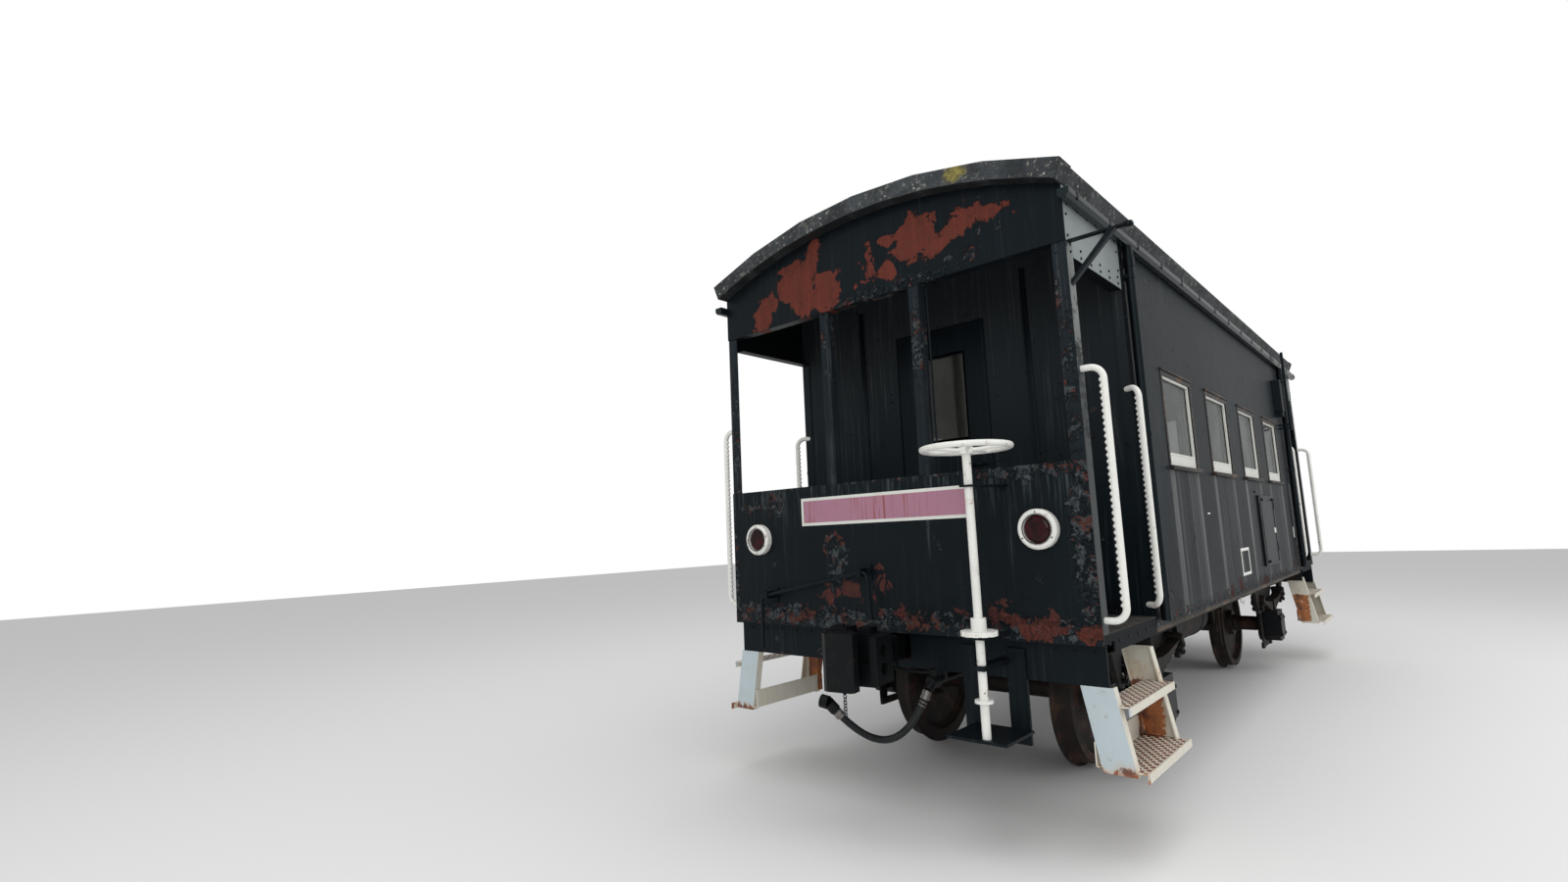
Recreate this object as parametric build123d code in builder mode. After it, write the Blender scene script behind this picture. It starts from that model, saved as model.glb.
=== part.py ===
from build123d import *
import os
from math import asin, atan2, cos, degrees, pi, radians, sin, sqrt, tan

# A two-axle caboose with an open platform at each end.
# X is across the car, Y along it and Z up. The origin is on the ground line of the
# wheel flanges, under the middle of the car. The front end is at the low end of Y,
# and the right side is at the high end of X. Sizes are in millimetres.

# Track and wheels
FLANGE_DEPTH = 27
WHEEL_BASE = 3900
TREAD_RADIUS = 430
BACK_TO_BACK = 990
TYRE_WIDTH = 125
FLANGE_WIDTH = 32
AXLE_RADIUS = 68
WHEEL_SEAT_RADIUS = 78
JOURNAL_RADIUS = 58
JOURNAL_CENTRE = 965
RAIL_TOP = FLANGE_DEPTH
AXLE_HEIGHT = RAIL_TOP + TREAD_RADIUS

# Body, with heights taken from the top of the rail
BODY_LENGTH = 6724
BODY_WIDTH = 2392
PLATFORM_DEPTH = 801
SIDE_BOTTOM = RAIL_TOP + 931
PANEL_BOTTOM = RAIL_TOP + 940
PANEL_TOP = RAIL_TOP + 1798
FLOOR_TOP = RAIL_TOP + 990
HEADER_BOTTOM = RAIL_TOP + 2876
WALL_THICK = 60
BULKHEAD_THICK = 50
BULKHEAD_INSET = 10
FLOOR_THICK = 40
SHEET = 8
END = BODY_LENGTH / 2
HALF = BODY_WIDTH / 2
CABIN_END = END - PLATFORM_DEPTH
CABIN_HALF = HALF - WALL_THICK
FLOOR_BOTTOM = FLOOR_TOP - FLOOR_THICK

# Roof, an arc across the car with a deep rim
ROOF_RADIUS = 3275
ROOF_CENTRE = RAIL_TOP + 215
ROOF_EAVES = 39
ROOF_HALF = HALF + ROOF_EAVES
ROOF_RIM = 90
ROOF_BOARD = 45
ROOF_OVERHANG = 76
RIM_COVER = 70
CEILING_HALF = CABIN_HALF - 8
ROOF_UNDER = ROOF_RADIUS - ROOF_RIM

# Windows
WINDOW_COUNT = 4
WINDOW_PITCH = 1088
WINDOW_WIDTH = 630
WINDOW_HEIGHT = 577
WINDOW_BOTTOM = RAIL_TOP + 1834
FRAME_DEPTH = 38
FRAME_SIDE = 26
FRAME_TOP = 30
FRAME_BOTTOM = 78
FRAME_INSET = 6
GLASS_THICK = 5

# Doors in the bulkheads
DOOR_WIDTH = 660
DOOR_HEIGHT = 1840
DOOR_THICK = 40
DOOR_SILL = 12
DOOR_GAP = 6
DOOR_FREE_GAP = 9
DOOR_STILE = 110
DOOR_PANEL_HEIGHT = 720
PANEL_SINK = 8
PANE_WIDTH = 340
PANE_HEIGHT = 560
PANE_BOTTOM = RAIL_TOP + 2090
HINGE_RADIUS = 9
HINGE_PIN = 5
HINGE_CLEAR = 0.4
HINGE_LENGTH = 50
HINGE_HEIGHTS = (260, 920, 1580)

# Underframe
BEAM_BOTTOM = RAIL_TOP + 750
BEAM_HALF = 1186
BEAM_INSET = 50
BEAM_FLANGE = 80
BEAM_WEB = 10
SILL_BOTTOM = RAIL_TOP + 800
SILL_WEB_FACE = 915
SILL_FLANGE = 75
SILL_WEB = 9
CENTRE_SILL = 175
CENTRE_SILL_DEPTH = 180
BEARER_DEPTH = 110
BEARER_THICK = 10
BEARER_PLACES = (-1300, -380)
STEP_BEARER_HALF = 1178

# Platform posts and headers
CORNER_LEG = 75
POST_LEG = 65
POST_THICK = 8
POST_PLACES = (-335, 320)
HEADER_LEG = 65
SIDE_HEADER_BOTTOM = RAIL_TOP + 2805

# Gutters and their pipes
GUTTER_WIDTH = 58
GUTTER_HEIGHT = 46
GUTTER_DROP = 55
GUTTER_WALL = 3
GUTTER_OVERHANG = 58
PIPE_RADIUS = 26
PIPE_FROM_CORNER = 75
PIPE_BOTTOM = RAIL_TOP + 965

# Steps
STEP_NEAR = 50
STEP_FAR = 740
STEP_LEAN = 10.5
STEP_PLATE = 150
STEP_SHEET = 7
STEP_FLANGE = 50
STEP_BOTTOM = RAIL_TOP + 372
STEP_FAR_TOP = RAIL_TOP + 845
STEP_BOTTOM_OUT = 1272
TREADS = ((395, 1320, 225), (672, 1268, 140))
TREAD_LIP = 38
RISER = 105

# Handrails: height of the top and bottom ends and reach from the wall
RAIL_TUBE = 16
RAIL_BEND = 62
RAIL_HIGH = RAIL_TOP + 2235
RAIL_LOW = RAIL_TOP + 1052
RAIL_REACH = 100

# Coupler, swung a little to the side as it was left
COUPLER_HEIGHT = RAIL_TOP + 862
COUPLER_REACH = 562
COUPLER_SWING = 9
COUPLER_PIVOT = 190
SHANK_UP = 65
SHANK_OPENING = 130
CARRIER_THICK = 12


def roof_under(x):
    """Height of the rim's underside at a distance from the middle of the car."""
    return ROOF_CENTRE + sqrt(ROOF_UNDER ** 2 - x ** 2)


def block(low, high, mode=Mode.ADD):
    """Adds or cuts a block between its low and high corners."""
    with Locations(low):
        Box(*(b - a for a, b in zip(low, high)), align=(Align.MIN, Align.MIN, Align.MIN), mode=mode)


def prism(plane, outline, length, mode=Mode.ADD):
    """Adds or cuts a straight bar whose outline is drawn on a plane."""
    with BuildSketch(plane) as section:
        with BuildLine():
            Polyline(*outline, close=True)
        make_face()
    extrude(section.sketch, amount=length, mode=mode)


def along_x(outline, start, end, mode=Mode.ADD):
    """A bar along X, with its outline given as (y, z)."""
    prism(Plane.YZ.offset(start), outline, end - start, mode)


def along_y(outline, start, end, mode=Mode.ADD):
    """A bar along Y, with its outline given as (x, z)."""
    prism(Plane.XZ.offset(-start), outline, start - end, mode)


def along_z(outline, start, end, mode=Mode.ADD):
    """A bar along Z, with its outline given as (x, y)."""
    prism(Plane.XY.offset(start), outline, end - start, mode)


def rod(start, end, radius, mode=Mode.ADD):
    """A round bar between two points."""
    axis = Vector(*end) - Vector(*start)
    with BuildSketch(Plane(origin=tuple(start), z_dir=axis)) as section:
        Circle(radius)
    extrude(section.sketch, amount=axis.length, mode=mode)


def channel(back, low, high, reach, thick):
    """Outline of a channel: back of the web, its two heights, and reach of the flanges."""
    web = thick if reach > 0 else -thick
    return ((back, low), (back + reach, low), (back + reach, low + thick), (back + web, low + thick),
            (back + web, high - thick), (back + reach, high - thick), (back + reach, high), (back, high))


def angle(corner, reach_a, reach_b, thick):
    """Outline of an angle bar from its outer corner, with two signed reaches."""
    a, b = corner
    t_a = thick if reach_a > 0 else -thick
    t_b = thick if reach_b > 0 else -thick
    return ((a, b), (a + reach_a, b), (a + reach_a, b + t_b), (a + t_a, b + t_b), (a + t_a, b + reach_b),
            (a, b + reach_b))


def roof_band(outer, inner, half_outer, start, length, mode=Mode.ADD):
    """A stretch of the roof's arc between two radii; half_outer is measured at the roof's top."""
    spread = asin(half_outer / ROOF_RADIUS)
    with BuildSketch(Plane.XZ.offset(-start)) as section:
        with BuildLine():
            top = [(outer * sin(a), ROOF_CENTRE + outer * cos(a)) for a in (-spread, 0, spread)]
            low = [(inner * sin(a), ROOF_CENTRE + inner * cos(a)) for a in (spread, 0, -spread)]
            ThreePointArc(*top)
            Line(top[2], low[0])
            ThreePointArc(*low)
            Line(low[2], top[0])
        make_face()
    extrude(section.sketch, amount=-length, mode=mode)


def arched_plate(half, bottom, start, length):
    """An upright plate across the car that reaches up to the rim of the roof."""
    with BuildSketch(Plane.XZ.offset(-start)) as section:
        with BuildLine():
            edge = roof_under(half)
            crown = roof_under(0)
            Polyline((half, edge), (half, bottom), (-half, bottom), (-half, edge))
            ThreePointArc((-half, edge), (0, crown), (half, edge))
        make_face()
    extrude(section.sketch, amount=-length)


def finish(piece, name):
    """Names a piece and writes it to its own file."""
    piece.part.label = name
    export_step(piece.part, f"parts/{name}.step")


os.makedirs("parts", exist_ok=True)

# Roof: a board with a deep rim, which is solid over the walls, the ends and the bulkheads
ROOF_START = -END - ROOF_OVERHANG
platform_pocket = PLATFORM_DEPTH - RIM_COVER
cabin_pocket = 2 * (CABIN_END - BULKHEAD_INSET - BULKHEAD_THICK)
ceiling_top_half = CEILING_HALF * ROOF_RADIUS / ROOF_UNDER
with BuildPart() as roof:
    roof_band(ROOF_RADIUS, ROOF_UNDER, ROOF_HALF, ROOF_START, BODY_LENGTH + 2 * ROOF_OVERHANG)
    for start, length in ((-END + RIM_COVER, platform_pocket), (-cabin_pocket / 2, cabin_pocket),
                          (CABIN_END, platform_pocket)):
        roof_band(ROOF_RADIUS - ROOF_BOARD, ROOF_UNDER - 5, ceiling_top_half, start, length, Mode.SUBTRACT)
finish(roof, "roof")

# Chimney over the stove
STOVE_X = -640
STOVE_Y = -500
CHIMNEY_RADIUS = 62
CHIMNEY_TOP = RAIL_TOP + 3680
chimney_foot = ROOF_CENTRE + sqrt(ROOF_RADIUS ** 2 - STOVE_X ** 2)
with BuildPart() as chimney:
    with BuildSketch(Plane.XY.offset(chimney_foot - ROOF_BOARD / 2)) as tube:
        with Locations((STOVE_X, STOVE_Y)):
            Circle(CHIMNEY_RADIUS)
    extrude(tube.sketch, amount=CHIMNEY_TOP - 40 - chimney_foot + ROOF_BOARD / 2)
    with BuildSketch(Plane.XY.offset(CHIMNEY_TOP - 40)) as hat:
        with Locations((STOVE_X, STOVE_Y)):
            Circle(CHIMNEY_RADIUS * 1.9)
    extrude(hat.sketch, amount=40, taper=50)
    add(roof.part, mode=Mode.SUBTRACT)
finish(chimney, "chimney")

# Side walls with their window openings; the top edge follows the roof
window_places = [(i - (WINDOW_COUNT - 1) / 2) * WINDOW_PITCH for i in range(WINDOW_COUNT)]
with BuildPart() as right_side_wall:
    along_y(((CABIN_HALF, SIDE_BOTTOM), (HALF, SIDE_BOTTOM), (HALF, roof_under(HALF)),
             (CABIN_HALF, roof_under(CABIN_HALF))), -CABIN_END, CABIN_END)
    for centre in window_places:
        block((CABIN_HALF - 1, centre - WINDOW_WIDTH / 2, WINDOW_BOTTOM),
              (HALF + 1, centre + WINDOW_WIDTH / 2, WINDOW_BOTTOM + WINDOW_HEIGHT), Mode.SUBTRACT)
finish(right_side_wall, "right_side_wall")
with BuildPart() as left_side_wall:
    with Locations(Rotation(0, 0, 180)):
        add(right_side_wall.part)
finish(left_side_wall, "left_side_wall")

# Window frames with a wide bottom rail, and their panes
frame_outer = HALF - FRAME_INSET
pane_middle = frame_outer - FRAME_DEPTH / 2
pane_low = WINDOW_BOTTOM + FRAME_BOTTOM
pane_high = WINDOW_BOTTOM + WINDOW_HEIGHT - FRAME_TOP
pane_half = WINDOW_WIDTH / 2 - FRAME_SIDE
with BuildPart() as window_frames:
    for centre in window_places:
        low = (frame_outer - FRAME_DEPTH, centre - WINDOW_WIDTH / 2, WINDOW_BOTTOM)
        high = (frame_outer, centre + WINDOW_WIDTH / 2, WINDOW_BOTTOM + WINDOW_HEIGHT)
        block(low, high)
        block((low[0] - 1, centre - pane_half, pane_low), (high[0] + 1, centre + pane_half, pane_high),
              Mode.SUBTRACT)
    mirror(about=Plane.YZ)
finish(window_frames, "window_frames")
with BuildPart() as window_panes:
    for centre in window_places:
        block((pane_middle - GLASS_THICK / 2, centre - pane_half, pane_low),
              (pane_middle + GLASS_THICK / 2, centre + pane_half, pane_high))
    mirror(about=Plane.YZ)
finish(window_panes, "window_panes")

# Bulkheads with a door opening, and the fixed halves of the door hinges with their pins
door_bottom = FLOOR_TOP + DOOR_SILL
opening_left = -DOOR_WIDTH / 2 - DOOR_GAP
opening_right = DOOR_WIDTH / 2 + DOOR_FREE_GAP
bulkhead_face = -CABIN_END + BULKHEAD_INSET
bulkhead_inner = bulkhead_face + BULKHEAD_THICK
hinge_x = -DOOR_WIDTH / 2 - DOOR_GAP / 2
hinge_y = bulkhead_inner + HINGE_RADIUS
with BuildPart() as front_bulkhead:
    arched_plate(CABIN_HALF, FLOOR_TOP, bulkhead_face, BULKHEAD_THICK)
    block((opening_left, bulkhead_face - 1, FLOOR_TOP + 6),
          (opening_right, bulkhead_inner + 1, door_bottom + DOOR_HEIGHT + DOOR_GAP), Mode.SUBTRACT)
    for height in HINGE_HEIGHTS:
        foot = door_bottom + height
        rod((hinge_x, hinge_y, foot), (hinge_x, hinge_y, foot + HINGE_LENGTH), HINGE_RADIUS)
        rod((hinge_x, hinge_y, foot + HINGE_LENGTH), (hinge_x, hinge_y, foot + 2 * HINGE_LENGTH), HINGE_PIN)
        block((opening_left - 45, bulkhead_inner, foot), (hinge_x, bulkhead_inner + 4, foot + HINGE_LENGTH))
finish(front_bulkhead, "front_bulkhead")
with BuildPart() as rear_bulkhead:
    with Locations(Rotation(0, 0, 180)):
        add(front_bulkhead.part)
finish(rear_bulkhead, "rear_bulkhead")

# Door leaves, which open into the cabin, with a sunk panel and their halves of the hinges
leaf_outer = bulkhead_inner - DOOR_THICK
with BuildPart() as front_door:
    block((-DOOR_WIDTH / 2, leaf_outer, door_bottom),
          (DOOR_WIDTH / 2, bulkhead_inner, door_bottom + DOOR_HEIGHT))
    block((-PANE_WIDTH / 2, leaf_outer - 1, PANE_BOTTOM),
          (PANE_WIDTH / 2, bulkhead_inner + 1, PANE_BOTTOM + PANE_HEIGHT), Mode.SUBTRACT)
    panel_half = DOOR_WIDTH / 2 - DOOR_STILE
    for face in (leaf_outer, bulkhead_inner):
        block((-panel_half, face - PANEL_SINK, door_bottom + DOOR_STILE),
              (panel_half, face + PANEL_SINK, door_bottom + DOOR_PANEL_HEIGHT), Mode.SUBTRACT)
    for height in HINGE_HEIGHTS:
        foot = door_bottom + height + HINGE_LENGTH + HINGE_CLEAR
        top = foot + HINGE_LENGTH
        block((hinge_x, bulkhead_inner, foot), (-DOOR_WIDTH / 2 + 60, bulkhead_inner + 4, top))
        rod((hinge_x, hinge_y, foot), (hinge_x, hinge_y, top), HINGE_RADIUS)
        rod((hinge_x, hinge_y, foot), (hinge_x, hinge_y, top), HINGE_PIN + HINGE_CLEAR, Mode.SUBTRACT)
    handle_height = door_bottom + 900
    handle_x = DOOR_WIDTH / 2 - 60
    rod((handle_x, leaf_outer, handle_height), (handle_x, leaf_outer - 45, handle_height), 8)
    rod((handle_x + 8, leaf_outer - 40, handle_height), (handle_x - 110, leaf_outer - 40, handle_height), 8)
    rod((handle_x, bulkhead_inner, handle_height), (handle_x, bulkhead_inner + 45, handle_height), 8)
    rod((handle_x + 8, bulkhead_inner + 40, handle_height),
        (handle_x - 110, bulkhead_inner + 40, handle_height), 8)
finish(front_door, "front_door")
with BuildPart() as rear_door:
    with Locations(Rotation(0, 0, 180)):
        add(front_door.part)
finish(rear_door, "rear_door")
with BuildPart() as front_door_pane:
    block((-PANE_WIDTH / 2, bulkhead_inner - 23, PANE_BOTTOM),
          (PANE_WIDTH / 2, bulkhead_inner - 23 + GLASS_THICK, PANE_BOTTOM + PANE_HEIGHT))
finish(front_door_pane, "front_door_pane")
with BuildPart() as rear_door_pane:
    with Locations(Rotation(0, 0, 180)):
        add(front_door_pane.part)
finish(rear_door_pane, "rear_door_pane")

# Floors: the cabin's lies between the walls, the platforms' have a lip along each side
LIP_DEPTH = 50
with BuildPart() as cabin_floor:
    block((-CABIN_HALF, -CABIN_END, FLOOR_BOTTOM), (CABIN_HALF, CABIN_END, FLOOR_TOP))
finish(cabin_floor, "cabin_floor")
with BuildPart() as front_platform:
    block((-HALF, -END + SHEET, FLOOR_BOTTOM), (HALF, -CABIN_END, FLOOR_TOP))
    for side in (-1, 1):
        lip = sorted((side * HALF, side * (HALF - SHEET)))
        block((lip[0], -END + BEAM_INSET + BEAM_FLANGE + 10, FLOOR_BOTTOM - LIP_DEPTH),
              (lip[1], -CABIN_END, FLOOR_BOTTOM))
finish(front_platform, "front_platform_floor")
with BuildPart() as rear_platform:
    with Locations(Rotation(0, 0, 180)):
        add(front_platform.part)
finish(rear_platform, "rear_platform_floor")

# End beams: channels with the flat web outwards, set back under the end panels
beam_face = -END + BEAM_INSET
with BuildPart() as end_beams:
    with BuildSketch(Plane.YZ.offset(-BEAM_HALF)) as section:
        with BuildLine():
            Polyline(*channel(beam_face, BEAM_BOTTOM, FLOOR_BOTTOM, BEAM_FLANGE, BEAM_WEB), close=True)
        make_face()
    extrude(section.sketch, amount=2 * BEAM_HALF)
    block((-SHANK_OPENING, beam_face - 1, COUPLER_HEIGHT - SHANK_UP - 6),
          (SHANK_OPENING, beam_face + BEAM_WEB + 1, COUPLER_HEIGHT + SHANK_UP + 6), Mode.SUBTRACT)
    mirror(about=Plane.XZ)
finish(end_beams, "end_beams")

# Underframe: the side sills and centre sills are long channels that open outwards
frame_end = END - BEAM_INSET - BEAM_FLANGE
with BuildPart() as underframe:
    for web_face, low in ((SILL_WEB_FACE, SILL_BOTTOM), (CENTRE_SILL, FLOOR_BOTTOM - CENTRE_SILL_DEPTH)):
        along_y(channel(web_face, low, FLOOR_BOTTOM, SILL_FLANGE, SILL_WEB), -frame_end, frame_end)
    mirror(about=Plane.YZ)
finish(underframe, "underframe")


def bearer(start, depth, reach, tip):
    """A cross bearer's plates: between the centre sills, out to the side sill, and past it."""
    end = start + BEARER_THICK
    low = FLOOR_BOTTOM - depth
    under = FLOOR_BOTTOM - SILL_WEB
    centre_web, centre_tip = CENTRE_SILL + SILL_WEB, CENTRE_SILL + SILL_FLANGE
    side_web, side_tip = SILL_WEB_FACE + SILL_WEB, SILL_WEB_FACE + SILL_FLANGE
    block((-CENTRE_SILL, start, low), (CENTRE_SILL, end, FLOOR_BOTTOM))
    along_y(((centre_web, low), (centre_web, under), (centre_tip, under), (centre_tip, FLOOR_BOTTOM),
             (SILL_WEB_FACE, FLOOR_BOTTOM), (SILL_WEB_FACE, low)), start, end)
    along_y(((side_web, low), (side_web, under), (side_tip, under), (side_tip, FLOOR_BOTTOM),
             (reach, FLOOR_BOTTOM), (reach, tip), (side_tip, low)), start, end)


# Cross bearers, with brackets that carry the walls and steps, and the couplers' carriers
shank_low = COUPLER_HEIGHT - SHANK_UP
carrier_low = shank_low - CARRIER_THICK
pocket_start = -END + COUPLER_PIVOT + 12
with BuildPart() as cross_bearers:
    for place in BEARER_PLACES:
        bearer(place - BEARER_THICK / 2, BEARER_DEPTH, CABIN_HALF, FLOOR_BOTTOM - 30)
        block((CENTRE_SILL + SILL_FLANGE, place - 35, FLOOR_BOTTOM - 10),
              (SILL_WEB_FACE, place + 35, FLOOR_BOTTOM))
    step_bearer_depth = FLOOR_BOTTOM - SILL_BOTTOM - SILL_WEB
    bearer(-END + STEP_FAR, step_bearer_depth, STEP_BEARER_HALF, FLOOR_BOTTOM - step_bearer_depth)
    block((-CENTRE_SILL, -frame_end, carrier_low), (CENTRE_SILL, pocket_start, shank_low))
    block((-CENTRE_SILL, pocket_start, carrier_low), (CENTRE_SILL, pocket_start + 240, FLOOR_BOTTOM - 20))
    mirror(about=Plane.YZ)
    mirror(about=Plane.XZ)
finish(cross_bearers, "cross_bearers")

# End panels: a sheet with a turned top edge
with BuildPart() as front_end_panel:
    block((-HALF, -END, PANEL_BOTTOM), (HALF, -END + SHEET, PANEL_TOP))
    block((-HALF + CORNER_LEG, -END, PANEL_TOP - SHEET), (HALF - CORNER_LEG, -END + 48, PANEL_TOP))
    for post in POST_PLACES:
        block((post - 45, -END + SHEET, PANEL_TOP - SHEET - 1), (post + 45, -END + 60, PANEL_TOP + 1),
              Mode.SUBTRACT)
finish(front_end_panel, "front_end_panel")
with BuildPart() as rear_end_panel:
    with Locations(Rotation(0, 0, 180)):
        add(front_end_panel.part)
finish(rear_end_panel, "rear_end_panel")

# Posts: heavy angle bars at the corners and two lighter ones between them
with BuildPart() as end_posts:
    for side in (-1, 1):
        along_z(angle((side * HALF, -END + SHEET), -side * CORNER_LEG, CORNER_LEG, POST_THICK),
                FLOOR_TOP, HEADER_BOTTOM)
    for post in POST_PLACES:
        along_z(angle((post + POST_LEG / 2, -END + SHEET), -POST_LEG, POST_LEG, POST_THICK),
                FLOOR_TOP, HEADER_BOTTOM)
    with Locations(Rotation(0, 0, 180)):
        add(end_posts.part)
finish(end_posts, "end_posts")

# Fascias under the roof's ends, with a flange along the bottom
with BuildPart() as front_fascia:
    arched_plate(HALF, HEADER_BOTTOM, -END, SHEET)
    block((-HALF + SHEET, -END + SHEET, HEADER_BOTTOM),
          (HALF - SHEET, -END + HEADER_LEG, HEADER_BOTTOM + SHEET))
finish(front_fascia, "front_fascia")
with BuildPart() as rear_fascia:
    with Locations(Rotation(0, 0, 180)):
        add(front_fascia.part)
finish(rear_fascia, "rear_fascia")

# Headers over the platform entrances
with BuildPart() as platform_headers:
    along_y(((HALF - SHEET, HEADER_BOTTOM), (HALF, HEADER_BOTTOM), (HALF, roof_under(HALF)),
             (HALF - SHEET, roof_under(HALF - SHEET))), -END + SHEET, -CABIN_END)
    along_y(angle((HALF, SIDE_HEADER_BOTTOM), -HEADER_LEG, HEADER_BOTTOM - SIDE_HEADER_BOTTOM, SHEET),
            -END + SHEET + CORNER_LEG, -CABIN_END)
    mirror(about=Plane.YZ)
    mirror(about=Plane.XZ)
finish(platform_headers, "platform_headers")

# Gutters: open troughs with closed ends, each with a pipe at both ends of the cabin
gutter_start = -END - GUTTER_OVERHANG
gutter_top = round(roof_under(HALF)) - GUTTER_DROP
gutter_low = gutter_top - GUTTER_HEIGHT
with BuildPart() as gutters:
    outline = ((HALF, gutter_top), (HALF, gutter_low + 12), (HALF + 12, gutter_low),
               (HALF + GUTTER_WIDTH - 16, gutter_low), (HALF + GUTTER_WIDTH, gutter_low + 18),
               (HALF + GUTTER_WIDTH, gutter_top))
    along_y(outline, gutter_start, -gutter_start)
    inner = ((HALF + GUTTER_WALL, gutter_top + 1), (HALF + GUTTER_WALL, gutter_low + 14),
             (HALF + 14, gutter_low + GUTTER_WALL), (HALF + GUTTER_WIDTH - 18, gutter_low + GUTTER_WALL),
             (HALF + GUTTER_WIDTH - GUTTER_WALL, gutter_low + 20),
             (HALF + GUTTER_WIDTH - GUTTER_WALL, gutter_top + 1))
    along_y(inner, gutter_start + GUTTER_WALL, -gutter_start - GUTTER_WALL, Mode.SUBTRACT)
    mirror(about=Plane.YZ)
finish(gutters, "gutters")
pipe_x = HALF + PIPE_RADIUS + 6
pipe_y = -CABIN_END + PIPE_FROM_CORNER
with BuildPart() as downspouts:
    rod((pipe_x, pipe_y, PIPE_BOTTOM), (pipe_x, pipe_y, gutter_low), PIPE_RADIUS)
    rod((pipe_x, pipe_y, gutter_low - 120), (pipe_x, pipe_y, gutter_low - 60), PIPE_RADIUS + 4)
    for height in (PIPE_BOTTOM + 120, PIPE_BOTTOM + 1000, gutter_low - 190):
        rod((pipe_x, pipe_y, height), (pipe_x, pipe_y, height + 22), PIPE_RADIUS + 3)
        block((HALF, pipe_y - 34, height), (pipe_x, pipe_y + 34, height + 22))
    mirror(about=Plane.YZ)
    mirror(about=Plane.XZ)
finish(downspouts, "downspouts")

# Steps: two leaning channels, two treads with a lip in front, and a riser behind the lower one
lean = tan(radians(STEP_LEAN))
front_near = -END + STEP_NEAR
front_far = -END + STEP_FAR


def step_x(height):
    """Outer edge of a step's side plate at a height."""
    return STEP_BOTTOM_OUT - (height - STEP_BOTTOM) * lean


def build_step():
    """One step unit at the front right entrance."""
    low_x = step_x(STEP_BOTTOM)
    for start, end, flange, top in (
            (front_near, front_near + STEP_SHEET, front_near + STEP_FLANGE, BEAM_BOTTOM),
            (front_far - STEP_SHEET, front_far, front_far - STEP_FLANGE, STEP_FAR_TOP)):
        top_x = step_x(top)
        along_y(((low_x - STEP_PLATE, STEP_BOTTOM), (low_x, STEP_BOTTOM), (top_x, top),
                 (top_x - STEP_PLATE, top)), start, end)
        for edge in (0, STEP_SHEET - STEP_PLATE):
            along_y(((low_x + edge - STEP_SHEET, STEP_BOTTOM), (low_x + edge, STEP_BOTTOM),
                     (top_x + edge, top), (top_x + edge - STEP_SHEET, top)), *sorted((start, flange)))
    for height, lip, depth in TREADS:
        top = RAIL_TOP + height
        block((lip - depth, front_near + STEP_SHEET, top - 6), (lip, front_far - STEP_SHEET, top))
        block((lip - 6, front_near - 8, top - TREAD_LIP), (lip, front_far + 8, top))
    tread, lip, depth = TREADS[0]
    block((lip - depth - 6, front_near + STEP_SHEET, RAIL_TOP + tread - 6),
          (lip - depth, front_far - STEP_SHEET, RAIL_TOP + tread + RISER))


with BuildPart() as front_right_step:
    build_step()
finish(front_right_step, "front_right_step")
with BuildPart() as front_left_step:
    add(front_right_step.part)
    mirror(about=Plane.YZ, mode=Mode.REPLACE)
finish(front_left_step, "front_left_step")
with BuildPart() as rear_left_step:
    with Locations(Rotation(0, 0, 180)):
        add(front_right_step.part)
finish(rear_left_step, "rear_left_step")
with BuildPart() as rear_right_step:
    with Locations(Rotation(0, 0, 180)):
        add(front_left_step.part)
finish(rear_right_step, "rear_right_step")


def handrail(foot, out):
    """A bent tube from a foot on the wall, standing off along a direction."""
    low = Vector(foot[0], foot[1], RAIL_LOW)
    high = Vector(foot[0], foot[1], RAIL_HIGH)
    off = Vector(*out).normalized() * RAIL_REACH
    with BuildLine() as route:
        FilletPolyline(low, low + off, high + off, high, radius=RAIL_BEND)
    with BuildSketch(Plane(origin=low, z_dir=off)) as section:
        Circle(RAIL_TUBE)
    sweep(section.sketch, path=route.line)


# Handrails: one on each corner post and one on each corner of the cabin
with BuildPart() as handrails:
    handrail((HALF, -END + SHEET + CORNER_LEG / 2), (1, 0, 0))
    handrail((HALF - 32, -CABIN_END + 10), (0.78, -0.62, 0))
    block((HALF - 80, -CABIN_END, RAIL_LOW - 50), (HALF, -CABIN_END + 60, RAIL_HIGH + 50),
          Mode.SUBTRACT)
    mirror(about=Plane.YZ)
    mirror(about=Plane.XZ)
finish(handrails, "handrails")

# Tail lamps: a deep ring and a domed lens on each side of both end panels
LAMP_X = 945
LAMP_HEIGHT = RAIL_TOP + 1481
LAMP_OUTER = 98
LAMP_INNER = 70
LAMP_DEPTH = 46
lamp_places = [(side * LAMP_X, LAMP_HEIGHT) for side in (-1, 1)]
with BuildPart() as tail_lamp_rims:
    with BuildSketch(Plane.XZ.offset(END)) as ring:
        with Locations(*lamp_places):
            Circle(LAMP_OUTER)
            Circle(LAMP_INNER, mode=Mode.SUBTRACT)
    extrude(ring.sketch, amount=LAMP_DEPTH)
    chamfer(tail_lamp_rims.faces().sort_by(Axis.Y)[:2].edges(), 10)
    mirror(about=Plane.XZ)
finish(tail_lamp_rims, "tail_lamp_rims")
with BuildPart() as tail_lamp_lenses:
    for x, z in lamp_places:
        rod((x, -END, z), (x, -END - LAMP_DEPTH + 4, z), LAMP_INNER)
    fillet(tail_lamp_lenses.faces().sort_by(Axis.Y)[:2].edges(), 26)
    mirror(about=Plane.XZ)
finish(tail_lamp_lenses, "tail_lamp_lenses")

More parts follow.
